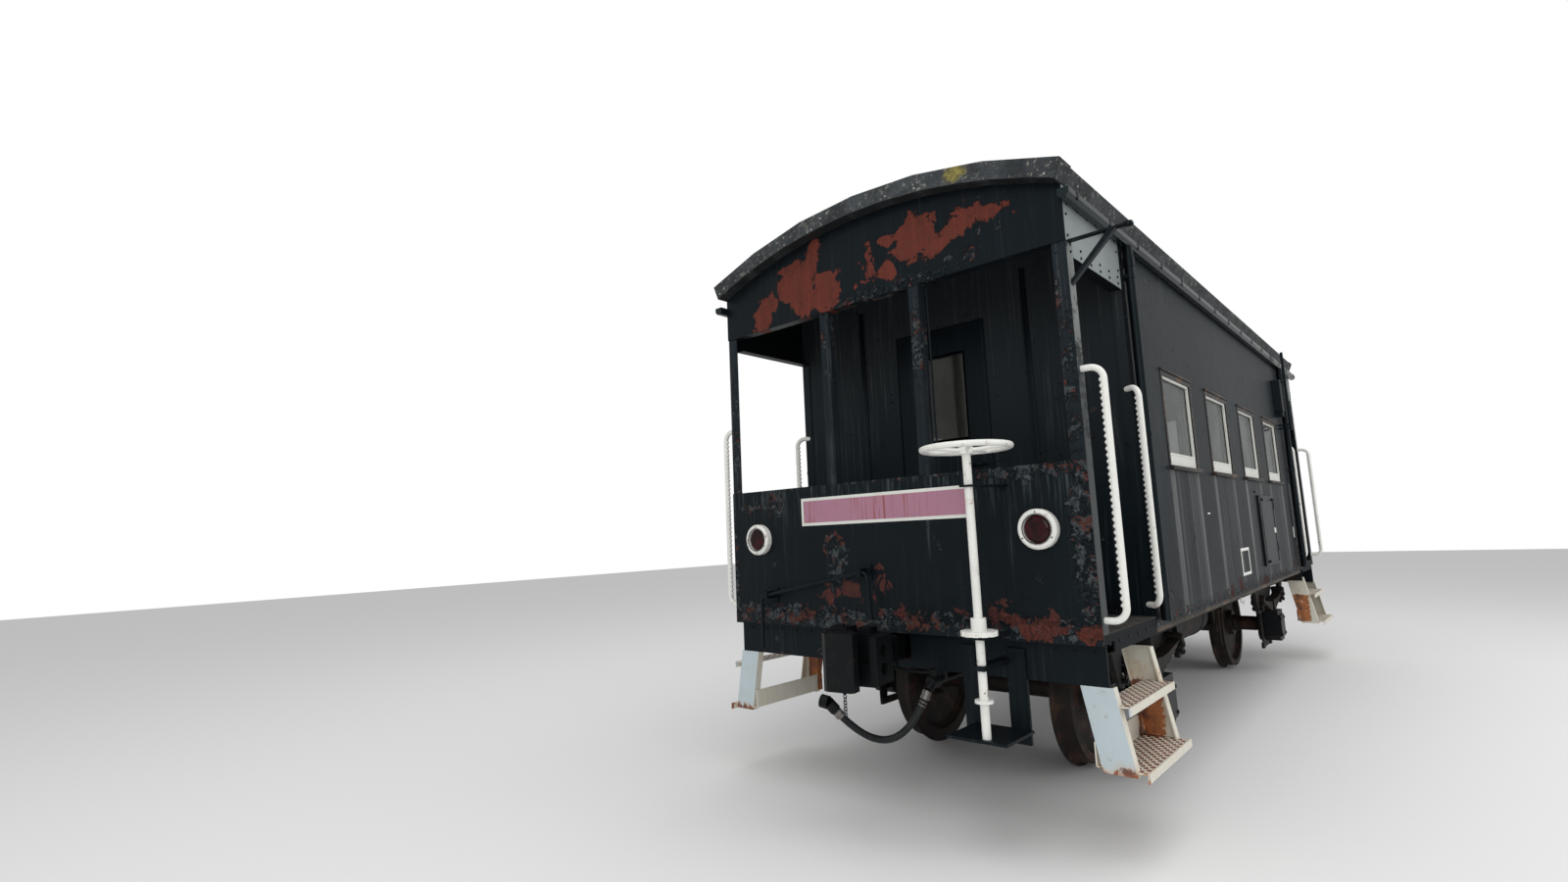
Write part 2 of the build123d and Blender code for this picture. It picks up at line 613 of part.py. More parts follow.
# Hand brakes: wheel, shaft, ratchet and collars in one, on a bracket of its own
BRAKE_X = 690
BRAKE_OUT = 205
BRAKE_FOOT = RAIL_TOP + 512
BRAKE_WHEEL = RAIL_TOP + 1893
BRAKE_WHEEL_RADIUS = 214
BRAKE_RIM = 15
BRAKE_SHAFT = 21
RATCHET_RADIUS = 88
RATCHET_FOOT = RAIL_TOP + 988
RATCHET_TEETH = 12
brake_y = -END - BRAKE_OUT


def brake_disc(radius, bottom, height):
    """A disc on the hand brake's shaft."""
    rod((BRAKE_X, brake_y, bottom), (BRAKE_X, brake_y, bottom + height), radius)


with BuildPart() as front_handbrake:
    brake_disc(BRAKE_SHAFT, BRAKE_FOOT, BRAKE_WHEEL - BRAKE_FOOT)
    with BuildSketch(Plane((BRAKE_X, brake_y, BRAKE_WHEEL), x_dir=(1, 0, 0), z_dir=(0, -1, 0))) as rim:
        with Locations((BRAKE_WHEEL_RADIUS, 0)):
            Circle(BRAKE_RIM)
    revolve(rim.sketch, axis=Axis((BRAKE_X, brake_y, 0), (0, 0, 1)))
    for spoke in range(5):
        turn = 2 * pi * spoke / 5 + 0.3
        rod((BRAKE_X, brake_y, BRAKE_WHEEL - 12), (BRAKE_X + BRAKE_WHEEL_RADIUS * cos(turn),
                                                   brake_y + BRAKE_WHEEL_RADIUS * sin(turn), BRAKE_WHEEL), 9)
    brake_disc(36, BRAKE_WHEEL - 30, 34)
    brake_disc(37, RAIL_TOP + 1010, 60)
    brake_disc(RATCHET_RADIUS, RATCHET_FOOT, 22)
    for notch in range(RATCHET_TEETH):
        turn = 2 * pi * notch / RATCHET_TEETH
        x = BRAKE_X + RATCHET_RADIUS * cos(turn)
        y = brake_y + RATCHET_RADIUS * sin(turn)
        rod((x, y, RATCHET_FOOT - 1), (x, y, RATCHET_FOOT + 23), 9, Mode.SUBTRACT)
    brake_disc(44, RAIL_TOP + 676, 14)
finish(front_handbrake, "front_handbrake")
with BuildPart() as rear_handbrake:
    with Locations(Rotation(0, 0, 180)):
        add(front_handbrake.part)
finish(rear_handbrake, "rear_handbrake")

# Brackets that hold the hand brake's shaft: strap, bearer plate, lower strap and hanger
with BuildPart() as handbrake_brackets:
    strap = RAIL_TOP + 1700
    along_z(((BRAKE_X - 34, brake_y - 32), (BRAKE_X + 34, brake_y - 32), (BRAKE_X + 110, -END),
             (BRAKE_X + 40, -END)), strap, strap + 10)
    along_z(((BRAKE_X - 60, brake_y - 50), (BRAKE_X + 60, brake_y - 50), (BRAKE_X + 90, -END),
             (BRAKE_X - 90, -END)), RAIL_TOP + 972, RAIL_TOP + 986)
    block((BRAKE_X - 30, brake_y - 32, RAIL_TOP + 825), (BRAKE_X + 30, beam_face, RAIL_TOP + 849))
    block((BRAKE_X - 190, brake_y - 40, BRAKE_FOOT - 14), (BRAKE_X + 120, beam_face, BRAKE_FOOT))
    block((BRAKE_X - 235, beam_face - 18, BRAKE_FOOT - 70), (BRAKE_X - 160, beam_face, RAIL_TOP + 900))
    block((BRAKE_X + 10, beam_face - 18, BRAKE_FOOT - 70), (BRAKE_X + 110, beam_face, RAIL_TOP + 900))
    rod((BRAKE_X, brake_y, BRAKE_FOOT), (BRAKE_X, brake_y, BRAKE_WHEEL), BRAKE_SHAFT + 0.3, Mode.SUBTRACT)
    with Locations(Rotation(0, 0, 180)):
        add(handbrake_brackets.part)
finish(handbrake_brackets, "handbrake_brackets")


def coupler_point(across, out, height):
    """A point of the coupler, from its distance beside and beyond the pivot and its height."""
    swing = radians(COUPLER_SWING)
    x = out * sin(swing) + across * cos(swing)
    y = across * sin(swing) - out * cos(swing)
    return x, y - END + COUPLER_PIVOT, COUPLER_HEIGHT + height


def coupler_slab(outline, low, high, mode=Mode.ADD):
    """A level slab of the coupler between two heights, with its outline as (across, out)."""
    along_z([coupler_point(across, out, 0)[:2] for across, out in outline], COUPLER_HEIGHT + low,
            COUPLER_HEIGHT + high, mode)


# Couplers: shank, head with its guard arm, and the closed knuckle between two lugs
HEAD_HALF = 118
KNUCKLE_HALF = 142
ARM_HOLE = 33
coupler_face = COUPLER_REACH + COUPLER_PIVOT
head_start = coupler_face - 330
pin_out = coupler_face - 185
with BuildPart() as front_coupler:
    coupler_slab(((-55, 0), (55, 0), (70, head_start), (-70, head_start)), -SHANK_UP, SHANK_UP)
    coupler_slab(((-90, head_start), (90, head_start), (152, head_start + 60), (146, coupler_face - 94),
                  (104, coupler_face - 98), (78, coupler_face - 200), (-150, coupler_face - 200),
                  (-150, head_start + 70)), -HEAD_HALF, HEAD_HALF)
    coupler_slab(((-146, pin_out - 60), (-34, pin_out - 60), (-44, pin_out + 40), (-70, pin_out + 62),
                  (-135, pin_out + 55), (-156, pin_out)), -KNUCKLE_HALF - 14, KNUCKLE_HALF + 14)
    coupler_slab(((-140, coupler_face - 230), (-38, coupler_face - 230), (-15, coupler_face - 125),
                  (36, coupler_face - 95), (56, coupler_face - 70), (56, coupler_face - 16),
                  (40, coupler_face), (-92, coupler_face), (-118, coupler_face - 18),
                  (-140, coupler_face - 110)), -KNUCKLE_HALF, KNUCKLE_HALF)
    coupler_slab(((-75, coupler_face - 240), (70, coupler_face - 240), (112, coupler_face - 150),
                  (-75, coupler_face - 150)), -KNUCKLE_HALF + 5, -30)
    coupler_slab(((-15, head_start + 40), (60, head_start + 40), (60, coupler_face - 215),
                  (-15, coupler_face - 215)), HEAD_HALF - 5, KNUCKLE_HALF + 6)
    for height in (-44, 44):
        rod(coupler_point(112, coupler_face - 172, height), coupler_point(200, coupler_face - 172, height),
            ARM_HOLE, Mode.SUBTRACT)
    rod(coupler_point(-95, pin_out, -KNUCKLE_HALF - 30), coupler_point(-95, pin_out, KNUCKLE_HALF + 26), 19)
finish(front_coupler, "front_coupler")
with BuildPart() as rear_coupler:
    with Locations(Rotation(0, 0, 180)):
        add(front_coupler.part)
finish(rear_coupler, "rear_coupler")

# Uncoupling levers: a cranked rod in two bearings on the end panel, with its handle and lift rod
LEVER_OUT = 60
lever_y = -END - LEVER_OUT
lever_points = ((-900, 800), (-895, 1122), (-60, 1282), (-45, 1010))
with BuildPart() as uncoupling_levers:
    with BuildLine() as route:
        FilletPolyline(*[(x, lever_y, RAIL_TOP + z) for x, z in lever_points], radius=40)
    with BuildSketch(Plane(origin=(lever_points[0][0], lever_y, RAIL_TOP + lever_points[0][1]),
                           z_dir=(5, 0, 322))) as section:
        Circle(10)
    sweep(section.sketch, path=route.line)
    for x, z in ((-850, 1131), (-110, 1273)):
        block((x - 14, lever_y - 16, RAIL_TOP + z - 22), (x + 14, -END, RAIL_TOP + z + 22))
        block((x - 45, -END - 8, RAIL_TOP + z - 45), (x + 45, -END, RAIL_TOP + z + 45))
    with Locations(Rotation(0, 0, 180)):
        add(uncoupling_levers.part)
finish(uncoupling_levers, "uncoupling_levers")

# Brackets for side lamps: a flat bar with a brace, at the right front corner and opposite
BRACKET_REACH = 300
bracket_top = HEADER_BOTTOM + 4
with BuildPart() as lamp_brackets:
    y = -END + SHEET + 30
    block((HALF, y - 16, bracket_top - 10), (HALF + BRACKET_REACH, y + 16, bracket_top))
    x = HALF + BRACKET_REACH - 20
    rod((x, y, bracket_top - 12), (x, y, bracket_top + 4), 20)
    along_y(((HALF, bracket_top - 230), (HALF, bracket_top - 205), (HALF + 190, bracket_top - 10),
             (HALF + 225, bracket_top - 10)), y - 16, y + 16)
    with Locations(Rotation(0, 0, 180)):
        add(lamp_brackets.part)
finish(lamp_brackets, "lamp_brackets")

# Side fittings near the far end of the right wall: box, rod and arms, and the same opposite
FITTING_Y = 2060
with BuildPart() as side_fittings:
    block((HALF, FITTING_Y, RAIL_TOP + 2560), (HALF + 76, FITTING_Y + 130, RAIL_TOP + 2885))
    block((HALF, FITTING_Y + 30, RAIL_TOP + 2505), (HALF + 70, FITTING_Y + 100, RAIL_TOP + 2560))
    for height in (2395, 2430):
        rod((HALF, FITTING_Y + 170, RAIL_TOP + height), (HALF + 112, FITTING_Y + 170, RAIL_TOP + height), 9)
    rod((HALF + 104, FITTING_Y + 170, RAIL_TOP + 2370), (HALF + 104, FITTING_Y + 170, RAIL_TOP + 3190), 13)
    block((HALF, FITTING_Y + 158, RAIL_TOP + 2870), (HALF + 104, FITTING_Y + 182, RAIL_TOP + 2882))
    with Locations(Rotation(0, 0, 180)):
        add(side_fittings.part)
finish(side_fittings, "side_fittings")

# Covers on the side walls, under the gap between the third and fourth window, and opposite
COVER_Y = 590
COVER_WIDTH = 640
with BuildPart() as side_covers:
    block((HALF, COVER_Y, RAIL_TOP + 1075), (HALF + 14, COVER_Y + COVER_WIDTH, RAIL_TOP + 1680))
    for height in (1180, 1560):
        rod((HALF + 12, COVER_Y + COVER_WIDTH + 7, RAIL_TOP + height),
            (HALF + 12, COVER_Y + COVER_WIDTH + 7, RAIL_TOP + height + 70), 9)
    with Locations(Rotation(0, 0, 180)):
        add(side_covers.part)
finish(side_covers, "side_covers")

# Wheels and axles
# Each pair of the wheel's profile is a radius and a distance from the wheel's inner side
FLANGE_TIP = TREAD_RADIUS + FLANGE_DEPTH
RIM_INNER = TREAD_RADIUS - 58
wheel_profile = (
    (WHEEL_SEAT_RADIUS, -40), (WHEEL_SEAT_RADIUS, 140), (118, 140), (125, 98), (RIM_INNER - 12, 80),
    (RIM_INNER, 112), (RIM_INNER, TYRE_WIDTH), (TREAD_RADIUS - 4, TYRE_WIDTH), (TREAD_RADIUS, 50),
    (TREAD_RADIUS + 4, FLANGE_WIDTH + 4), (FLANGE_TIP - 3, FLANGE_WIDTH - 8), (FLANGE_TIP, 16),
    (FLANGE_TIP - 4, 3), (TREAD_RADIUS + 12, 0), (RIM_INNER, 0), (RIM_INNER - 14, 20),
    (RIM_INNER - 42, 44), (140, 58), (124, 20), (118, -40),
)
# Each pair of the axle's profile is a distance from the middle of the car and a radius
axle_profile = (
    (0, 0), (0, AXLE_RADIUS), (420, AXLE_RADIUS), (440, WHEEL_SEAT_RADIUS), (650, WHEEL_SEAT_RADIUS),
    (690, 70), (830, 70), (850, JOURNAL_RADIUS), (1030, JOURNAL_RADIUS), (1030, 0),
)
for name, place in (("front", -WHEEL_BASE / 2), ("rear", WHEEL_BASE / 2)):
    axis = Axis((0, place, AXLE_HEIGHT), (1, 0, 0))
    with BuildPart() as wheels:
        with BuildSketch(Plane((0, place, AXLE_HEIGHT), x_dir=(1, 0, 0), z_dir=(0, -1, 0))) as section:
            with BuildLine():
                Polyline(*[(BACK_TO_BACK / 2 + x, r) for r, x in wheel_profile], close=True)
            make_face()
        revolve(section.sketch, axis=axis)
        mirror(about=Plane.YZ)
    finish(wheels, f"{name}_wheels")
    with BuildPart() as axle:
        with BuildSketch(Plane((0, place, AXLE_HEIGHT), x_dir=(1, 0, 0), z_dir=(0, -1, 0))) as section:
            with BuildLine():
                Polyline(*axle_profile, close=True)
            make_face()
        revolve(section.sketch, axis=axis)
        mirror(about=Plane.YZ)
    finish(axle, f"{name}_axle")

# Axle boxes, guards, springs and their hangers at the front right wheel, repeated at the others
axle_y = -WHEEL_BASE / 2
BOX_HALF = 128
BOX_DOWN = 150
BOX_UP = 138
box_top = AXLE_HEIGHT + BOX_UP
SPRING_HALF = 520
GUARD_FACE = SILL_WEB_FACE
GUARD_THICK = 12
GUARD_GAP = 8
RIB_THICK = 12
RIB_GAP = 3


def at_all_axle_ends(piece):
    """Adds the same piece at the four axle ends."""
    add(piece)
    mirror(about=Plane.YZ)
    mirror(about=Plane.XZ)


with BuildPart() as axle_box:
    block((862, axle_y - BOX_HALF, AXLE_HEIGHT - BOX_DOWN), (1045, axle_y + BOX_HALF, box_top))
    chamfer(axle_box.edges().filter_by(Axis.X).group_by(Axis.Z)[0], 50)
    rod((800, axle_y, AXLE_HEIGHT), (1032, axle_y, AXLE_HEIGHT), JOURNAL_RADIUS + 0.5, Mode.SUBTRACT)
    rod((800, axle_y, AXLE_HEIGHT), (880, axle_y, AXLE_HEIGHT), 74, Mode.SUBTRACT)
    block((1045, axle_y - 95, AXLE_HEIGHT - 110), (1062, axle_y + 95, AXLE_HEIGHT + 95))
    for rib in (GUARD_FACE - GUARD_THICK - RIB_GAP - RIB_THICK, GUARD_FACE + RIB_GAP):
        for side in (-1, 1):
            near, far = sorted((axle_y + side * (BOX_HALF - 10), axle_y + side * (BOX_HALF + 30)))
            block((rib, near, AXLE_HEIGHT - 105), (rib + RIB_THICK, far, AXLE_HEIGHT + 110))
with BuildPart() as axle_boxes:
    at_all_axle_ends(axle_box.part)
finish(axle_boxes, "axle_boxes")

guard_in = BOX_HALF + GUARD_GAP
with BuildPart() as axle_guard:
    outline = [(-SPRING_HALF, FLOOR_BOTTOM - 15), (-SPRING_HALF, SILL_BOTTOM),
               (-guard_in - 100, AXLE_HEIGHT + 120),
               (-guard_in - 80, AXLE_HEIGHT - 215), (-guard_in, AXLE_HEIGHT - 215),
               (-guard_in, AXLE_HEIGHT + 230), (-guard_in + 50, AXLE_HEIGHT + 280)]
    whole = outline + [(-y, z) for y, z in reversed(outline)]
    along_x([(axle_y + y, z) for y, z in whole], GUARD_FACE - GUARD_THICK, GUARD_FACE)
    block((GUARD_FACE - GUARD_THICK - 10, axle_y - guard_in - 80, AXLE_HEIGHT - 215),
          (GUARD_FACE - GUARD_THICK, axle_y + guard_in + 80, AXLE_HEIGHT - 165))
with BuildPart() as axle_guards:
    at_all_axle_ends(axle_guard.part)
finish(axle_guards, "axle_guards")

LEAF_COUNT = 7
LEAF_THICK = 13
LEAF_WIDTH = 76
SPRING_CAMBER = 62
spring_radius = (SPRING_HALF ** 2 + SPRING_CAMBER ** 2) / (2 * SPRING_CAMBER)
main_leaf_low = box_top + (LEAF_COUNT - 1) * LEAF_THICK
arc_centre = main_leaf_low + spring_radius
leaf_start = JOURNAL_CENTRE - LEAF_WIDTH / 2
leaf_end = JOURNAL_CENTRE + LEAF_WIDTH / 2
EYE_RADIUS = 26
EYE_PIN = 14


def leaf(radius, half):
    """One leaf of the spring as an arc band, outer radius first."""
    spread = asin(half / radius)
    inner = radius - LEAF_THICK
    with BuildSketch(Plane.YZ.offset(leaf_start)) as section:
        with BuildLine():
            low = [(axle_y + radius * sin(a), arc_centre - radius * cos(a)) for a in (-spread, 0, spread)]
            top = [(axle_y + inner * sin(a), arc_centre - inner * cos(a)) for a in (spread, 0, -spread)]
            ThreePointArc(*low)
            Line(low[2], top[0])
            ThreePointArc(*top)
            Line(top[2], low[0])
        make_face()
    extrude(section.sketch, amount=LEAF_WIDTH)


leaf_end_height = arc_centre - sqrt((spring_radius - LEAF_THICK) ** 2 - SPRING_HALF ** 2)
eye_height = leaf_end_height + EYE_RADIUS - LEAF_THICK
with BuildPart() as leaf_spring:
    for i in range(LEAF_COUNT):
        leaf(spring_radius + i * LEAF_THICK, SPRING_HALF * (1 - i / (LEAF_COUNT + 0.6)))
    for side in (-1, 1):
        eye_y = axle_y + side * SPRING_HALF
        rod((leaf_start, eye_y, eye_height), (leaf_end, eye_y, eye_height), EYE_RADIUS)
    block((leaf_start - 12, axle_y - 45, box_top),
          (leaf_end + 12, axle_y + 45, main_leaf_low + LEAF_THICK + 14))
with BuildPart() as leaf_springs:
    at_all_axle_ends(leaf_spring.part)
finish(leaf_springs, "leaf_springs")

# Hangers: a horn under the sill, and two pairs of links in a chain that hold it to the spring's eye
LINK_DROP = 52
LINK_OUT = 26
LINK_WIDTH = 44
LINK_THICK = 12
horn_y = SPRING_HALF + 2 * LINK_OUT
horn_z = eye_height - 2 * LINK_DROP
horn_outline = ((horn_y - 20, SILL_BOTTOM), (horn_y + 150, SILL_BOTTOM), (horn_y + 60, horn_z - 10),
                (horn_y + 25, horn_z - 40), (horn_y - 25, horn_z - 40), (horn_y - 30, horn_z + 10),
                (horn_y + 5, horn_z + 40))
link_length = sqrt(LINK_OUT ** 2 + LINK_DROP ** 2)
# Columns: link from the eye, place of the plate on the near side and on the far side
link_pairs = ((0, leaf_start - 16, leaf_end + 4), (1, leaf_start - 3, leaf_end - 9))
# Columns: pin from the eye, and how far it stands out past the leaves
link_pins = ((0, 20), (1, 20), (2, 10))


def link_place(side, step):
    """Middle of a pin in the chain of links, as (y, z)."""
    return axle_y + side * (SPRING_HALF + step * LINK_OUT), eye_height - step * LINK_DROP


with BuildPart() as spring_hanger:
    for side in (-1, 1):
        along_x([(axle_y + side * y, z) for y, z in horn_outline], JOURNAL_CENTRE - 16, JOURNAL_CENTRE + 16)
        for step, *plates in link_pairs:
            middle_y, middle_z = link_place(side, step + 0.5)
            lean = degrees(atan2(-LINK_DROP, side * LINK_OUT))
            for x in plates:
                with BuildSketch(Plane.YZ.offset(x)) as link:
                    with Locations(Location((middle_y, middle_z, 0), (0, 0, 1), lean)):
                        SlotCenterToCenter(link_length, LINK_WIDTH)
                extrude(link.sketch, amount=LINK_THICK)
        for step, past in link_pins:
            y, z = link_place(side, step)
            rod((leaf_start - past, y, z), (leaf_end + past, y, z), EYE_PIN)
    add(leaf_spring.part, mode=Mode.SUBTRACT)
with BuildPart() as spring_hangers:
    at_all_axle_ends(spring_hanger.part)
finish(spring_hangers, "spring_hangers")

# Brake gear: a beam with two blocks at each axle on its hangers, and the rod that pulls it
BLOCK_GAP = 9
BLOCK_THICK = 48
BLOCK_WIDTH = 76
PULL_RADIUS = 12
LEVER_Y = -400
LEVER_LOW = 655
block_in = TREAD_RADIUS + BLOCK_GAP
block_out = block_in + BLOCK_THICK
tread_x = BACK_TO_BACK / 2 + TYRE_WIDTH / 2 + 10
# Columns: distance from the middle of the car, and where the rod leaves its beam
PULL_RODS = ((-20, axle_y + block_out + 24), (40, -axle_y - block_out - 24))


def shoe_arc(radius, angles):
    """Points of a brake shoe's arc about the front axle, as (y, z)."""
    return [(axle_y + radius * cos(a), AXLE_HEIGHT + radius * sin(a)) for a in angles]


with BuildPart() as brake_beams:
    hang_y = axle_y + block_out
    spread = radians(22)
    for side in (-1, 1):
        with BuildSketch(Plane.YZ.offset(side * tread_x - BLOCK_WIDTH / 2)) as shoe:
            with BuildLine():
                near = shoe_arc(block_in, (-spread, 0, spread))
                far = shoe_arc(block_out, (spread, 0, -spread))
                ThreePointArc(*near)
                Line(near[2], far[0])
                ThreePointArc(*far)
                Line(far[2], near[0])
            make_face()
        extrude(shoe.sketch, amount=BLOCK_WIDTH)
        x = side * tread_x
        block((x - 20, hang_y - 8, AXLE_HEIGHT - 40), (x + 20, hang_y + 40, AXLE_HEIGHT + 40))
        block((x - 6, hang_y + 6, AXLE_HEIGHT), (x + 6, hang_y + 46, FLOOR_BOTTOM))
    block((-tread_x, hang_y + 4, AXLE_HEIGHT - 30), (tread_x, hang_y + 26, AXLE_HEIGHT + 30))
    with Locations(Rotation(0, 0, 180)):
        add(brake_beams.part)
    for x, start in PULL_RODS:
        rod((x, start, AXLE_HEIGHT), (x, LEVER_Y, LEVER_LOW - PULL_RADIUS), PULL_RADIUS)
        block((x - 16, LEVER_Y - 16, LEVER_LOW - 30), (x + 16, LEVER_Y + 16, LEVER_LOW))
finish(brake_beams, "brake_beams")

# Air tank and brake cylinder, hung from the two middle bearers
TANK_X = 560
TANK_RADIUS = 170
TANK_HALF = 560
bearer_low = FLOOR_BOTTOM - BEARER_DEPTH
tank_height = bearer_low - TANK_RADIUS - 12
with BuildPart() as air_tank:
    rod((TANK_X, -TANK_HALF, tank_height), (TANK_X, TANK_HALF, tank_height), TANK_RADIUS)
    fillet(air_tank.edges().filter_by(GeomType.CIRCLE), 40)
    for place in (BEARER_PLACES[1], -BEARER_PLACES[1]):
        rod((TANK_X, place - 20, tank_height), (TANK_X, place + 20, tank_height), TANK_RADIUS + 5)
        block((TANK_X - 70, place - 20, tank_height), (TANK_X + 70, place + 20, bearer_low))
finish(air_tank, "air_tank")
CYLINDER_X = -520
CYLINDER_RADIUS = 150
cylinder_height = bearer_low - CYLINDER_RADIUS - 40
with BuildPart() as brake_cylinder:
    rod((CYLINDER_X, -160, cylinder_height), (CYLINDER_X, 240, cylinder_height), CYLINDER_RADIUS)
    rod((CYLINDER_X, 240, cylinder_height), (CYLINDER_X, 275, cylinder_height), CYLINDER_RADIUS + 24)
    rod((CYLINDER_X, LEVER_Y, cylinder_height), (CYLINDER_X, -160, cylinder_height), 24)
    block((CYLINDER_X - 110, BEARER_PLACES[1] - 30, bearer_low - 12),
          (CYLINDER_X + 110, -BEARER_PLACES[1] + 30, bearer_low))
    for start in (-100, 150):
        block((CYLINDER_X - 90, start, cylinder_height), (CYLINDER_X + 90, start + 30, bearer_low))
    block((CYLINDER_X - 25, LEVER_Y - 12, LEVER_LOW), (70, LEVER_Y + 12, LEVER_LOW + 45))
finish(brake_cylinder, "brake_cylinder")

# Brake hoses, which hang from the ends of the brake pipe
HOSE_RADIUS = 18.5
hose_points = ((292, -END - 60, RAIL_TOP + 665), (226, -END - 128, RAIL_TOP + 452),
               (68, -END - 310, RAIL_TOP + 418), (4, -END - 482, RAIL_TOP + 616))


def bend_radius(before, corner, after):
    """Bend radius that suits the two straight runs at a corner."""
    runs = (Vector(*corner) - Vector(*before), Vector(*after) - Vector(*corner))
    half_turn = radians(runs[0].get_angle(runs[1])) / 2
    return 0.45 * min(run.length for run in runs) / tan(half_turn)


hose_bends = [bend_radius(*hose_points[i:i + 3]) for i in range(len(hose_points) - 2)]
print("hose bends", [round(bend, 1) for bend in hose_bends])
with BuildPart() as front_brake_hose:
    with BuildLine() as route:
        FilletPolyline(*hose_points, radius=hose_bends)
    with BuildSketch(Plane(origin=hose_points[0], z_dir=route.line % 0)) as section:
        Circle(HOSE_RADIUS)
    sweep(section.sketch, path=route.line)
print("hose length", round(sum(edge.length for edge in route.edges()), 1))
finish(front_brake_hose, "front_brake_hose")
with BuildPart() as rear_brake_hose:
    with Locations(Rotation(0, 0, 180)):
        add(front_brake_hose.part)
finish(rear_brake_hose, "rear_brake_hose")

# Brake pipe under the floor, with a cock and its bent handle at each end
PIPE_X = 300
PIPE_HEIGHT = RAIL_TOP + 700
PIPE_TUBE = 17
PIPE_BEND = 140
HANDLE_Y = -END - 100
HANDLE_LOW = RAIL_TOP + 757
HANDLE_HIGH = RAIL_TOP + 943
HANDLE_SIZE = 12
pipe_points = ((PIPE_X, -END - 40), (PIPE_X, 650), (-PIPE_X, 1150), (-PIPE_X, END + 40))
# Columns: where the pipe hangs, and the bearer or beam that it hangs from
pipe_hangers = ((PIPE_X, BEARER_PLACES[0]), (PIPE_X, BEARER_PLACES[1]), (PIPE_X, -BEARER_PLACES[1]),
                (-PIPE_X, -BEARER_PLACES[0]))
with BuildPart() as brake_pipe:
    rod((PIPE_X, -END + 30, PIPE_HEIGHT), (PIPE_X, -END - 44, PIPE_HEIGHT), 31)
    rod((PIPE_X, -END - 18, PIPE_HEIGHT), hose_points[0], 25)
    block((PIPE_X - 22, -END + 70, PIPE_HEIGHT), (PIPE_X + 22, -END + 100, BEAM_BOTTOM))
    block((PIPE_X - 10, -END - 30, PIPE_HEIGHT), (PIPE_X + 10, -END + 10, HANDLE_LOW))
    block((PIPE_X - 10, HANDLE_Y, HANDLE_LOW), (PIPE_X + 10, -END + 10, HANDLE_LOW + HANDLE_SIZE))
    block((120, HANDLE_Y, HANDLE_LOW), (PIPE_X, HANDLE_Y + 20, HANDLE_LOW + HANDLE_SIZE))
    block((120, HANDLE_Y, HANDLE_LOW), (120 + HANDLE_SIZE, HANDLE_Y + 20, HANDLE_HIGH))
    block((35, HANDLE_Y, HANDLE_HIGH - HANDLE_SIZE), (120 + HANDLE_SIZE, HANDLE_Y + 20, HANDLE_HIGH))
    add(front_brake_hose.part, mode=Mode.SUBTRACT)
    with Locations(Rotation(0, 0, 180)):
        add(brake_pipe.part)
    with BuildLine() as route:
        FilletPolyline(*[(x, y, PIPE_HEIGHT) for x, y in pipe_points], radius=PIPE_BEND)
    with BuildSketch(Plane(origin=route.line @ 0, z_dir=route.line % 0)) as section:
        Circle(PIPE_TUBE)
    sweep(section.sketch, path=route.line)
    for x, y in pipe_hangers:
        block((x - 12, y - 4, PIPE_HEIGHT), (x + 12, y + 4, bearer_low))
finish(brake_pipe, "brake_pipe")

# Couplings at the free ends of the hoses
hose_end = Vector(*hose_points[-1])
hose_last = (hose_end - Vector(*hose_points[-2])).normalized()
with BuildPart() as front_hose_coupling:
    rod(hose_end, hose_end + hose_last * 55, 29)
    rod(hose_end + hose_last * 52, hose_end + hose_last * 52 + Vector(-40, -10, 8), 33)
finish(front_hose_coupling, "front_hose_coupling")
with BuildPart() as rear_hose_coupling:
    with Locations(Rotation(0, 0, 180)):
        add(front_hose_coupling.part)
finish(rear_hose_coupling, "rear_hose_coupling")

# Cabin: bench seats along the walls and a stove with its flue up to the ceiling
BENCH_DEPTH = 420
BENCH_HEIGHT = 430
BENCH_BOARD = 30
with BuildPart() as cabin_benches:
    for side, start, end in ((1, -2200, 2200), (-1, 100, 2200)):
        wall, front = side * CABIN_HALF, side * (CABIN_HALF - BENCH_DEPTH)
        low, high = sorted((wall, front))
        block((low, start, FLOOR_TOP + BENCH_HEIGHT - BENCH_BOARD), (high, end, FLOOR_TOP + BENCH_HEIGHT))
        for y in (start, (start + end) / 2, end - BENCH_BOARD):
            block((low, y, FLOOR_TOP), (high, y + BENCH_BOARD, FLOOR_TOP + BENCH_HEIGHT - BENCH_BOARD))
finish(cabin_benches, "cabin_benches")
STOVE_RADIUS = 160
FLUE_RADIUS = 50
flue_top = ROOF_CENTRE + sqrt((ROOF_RADIUS - ROOF_BOARD) ** 2 - STOVE_X ** 2) - 14
with BuildPart() as stove:
    rod((STOVE_X, STOVE_Y, FLOOR_TOP + 90), (STOVE_X, STOVE_Y, FLOOR_TOP + 620), STOVE_RADIUS)
    rod((STOVE_X, STOVE_Y, FLOOR_TOP + 600), (STOVE_X, STOVE_Y, FLOOR_TOP + 640), STOVE_RADIUS + 20)
    rod((STOVE_X, STOVE_Y, FLOOR_TOP + 620), (STOVE_X, STOVE_Y, flue_top + 14), FLUE_RADIUS)
    for turn in (45, 135, 225, 315):
        x = STOVE_X + 120 * cos(radians(turn))
        y = STOVE_Y + 120 * sin(radians(turn))
        rod((x, y, FLOOR_TOP), (x, y, FLOOR_TOP + 100), 16)
    add(roof.part, mode=Mode.SUBTRACT)
finish(stove, "stove")
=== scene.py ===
"""Looks of a weathered caboose with open platforms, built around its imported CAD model."""

import logging
import math
import random
from dataclasses import dataclass
from enum import Enum

import bmesh
import bpy
from mathutils import Matrix, Vector, noise


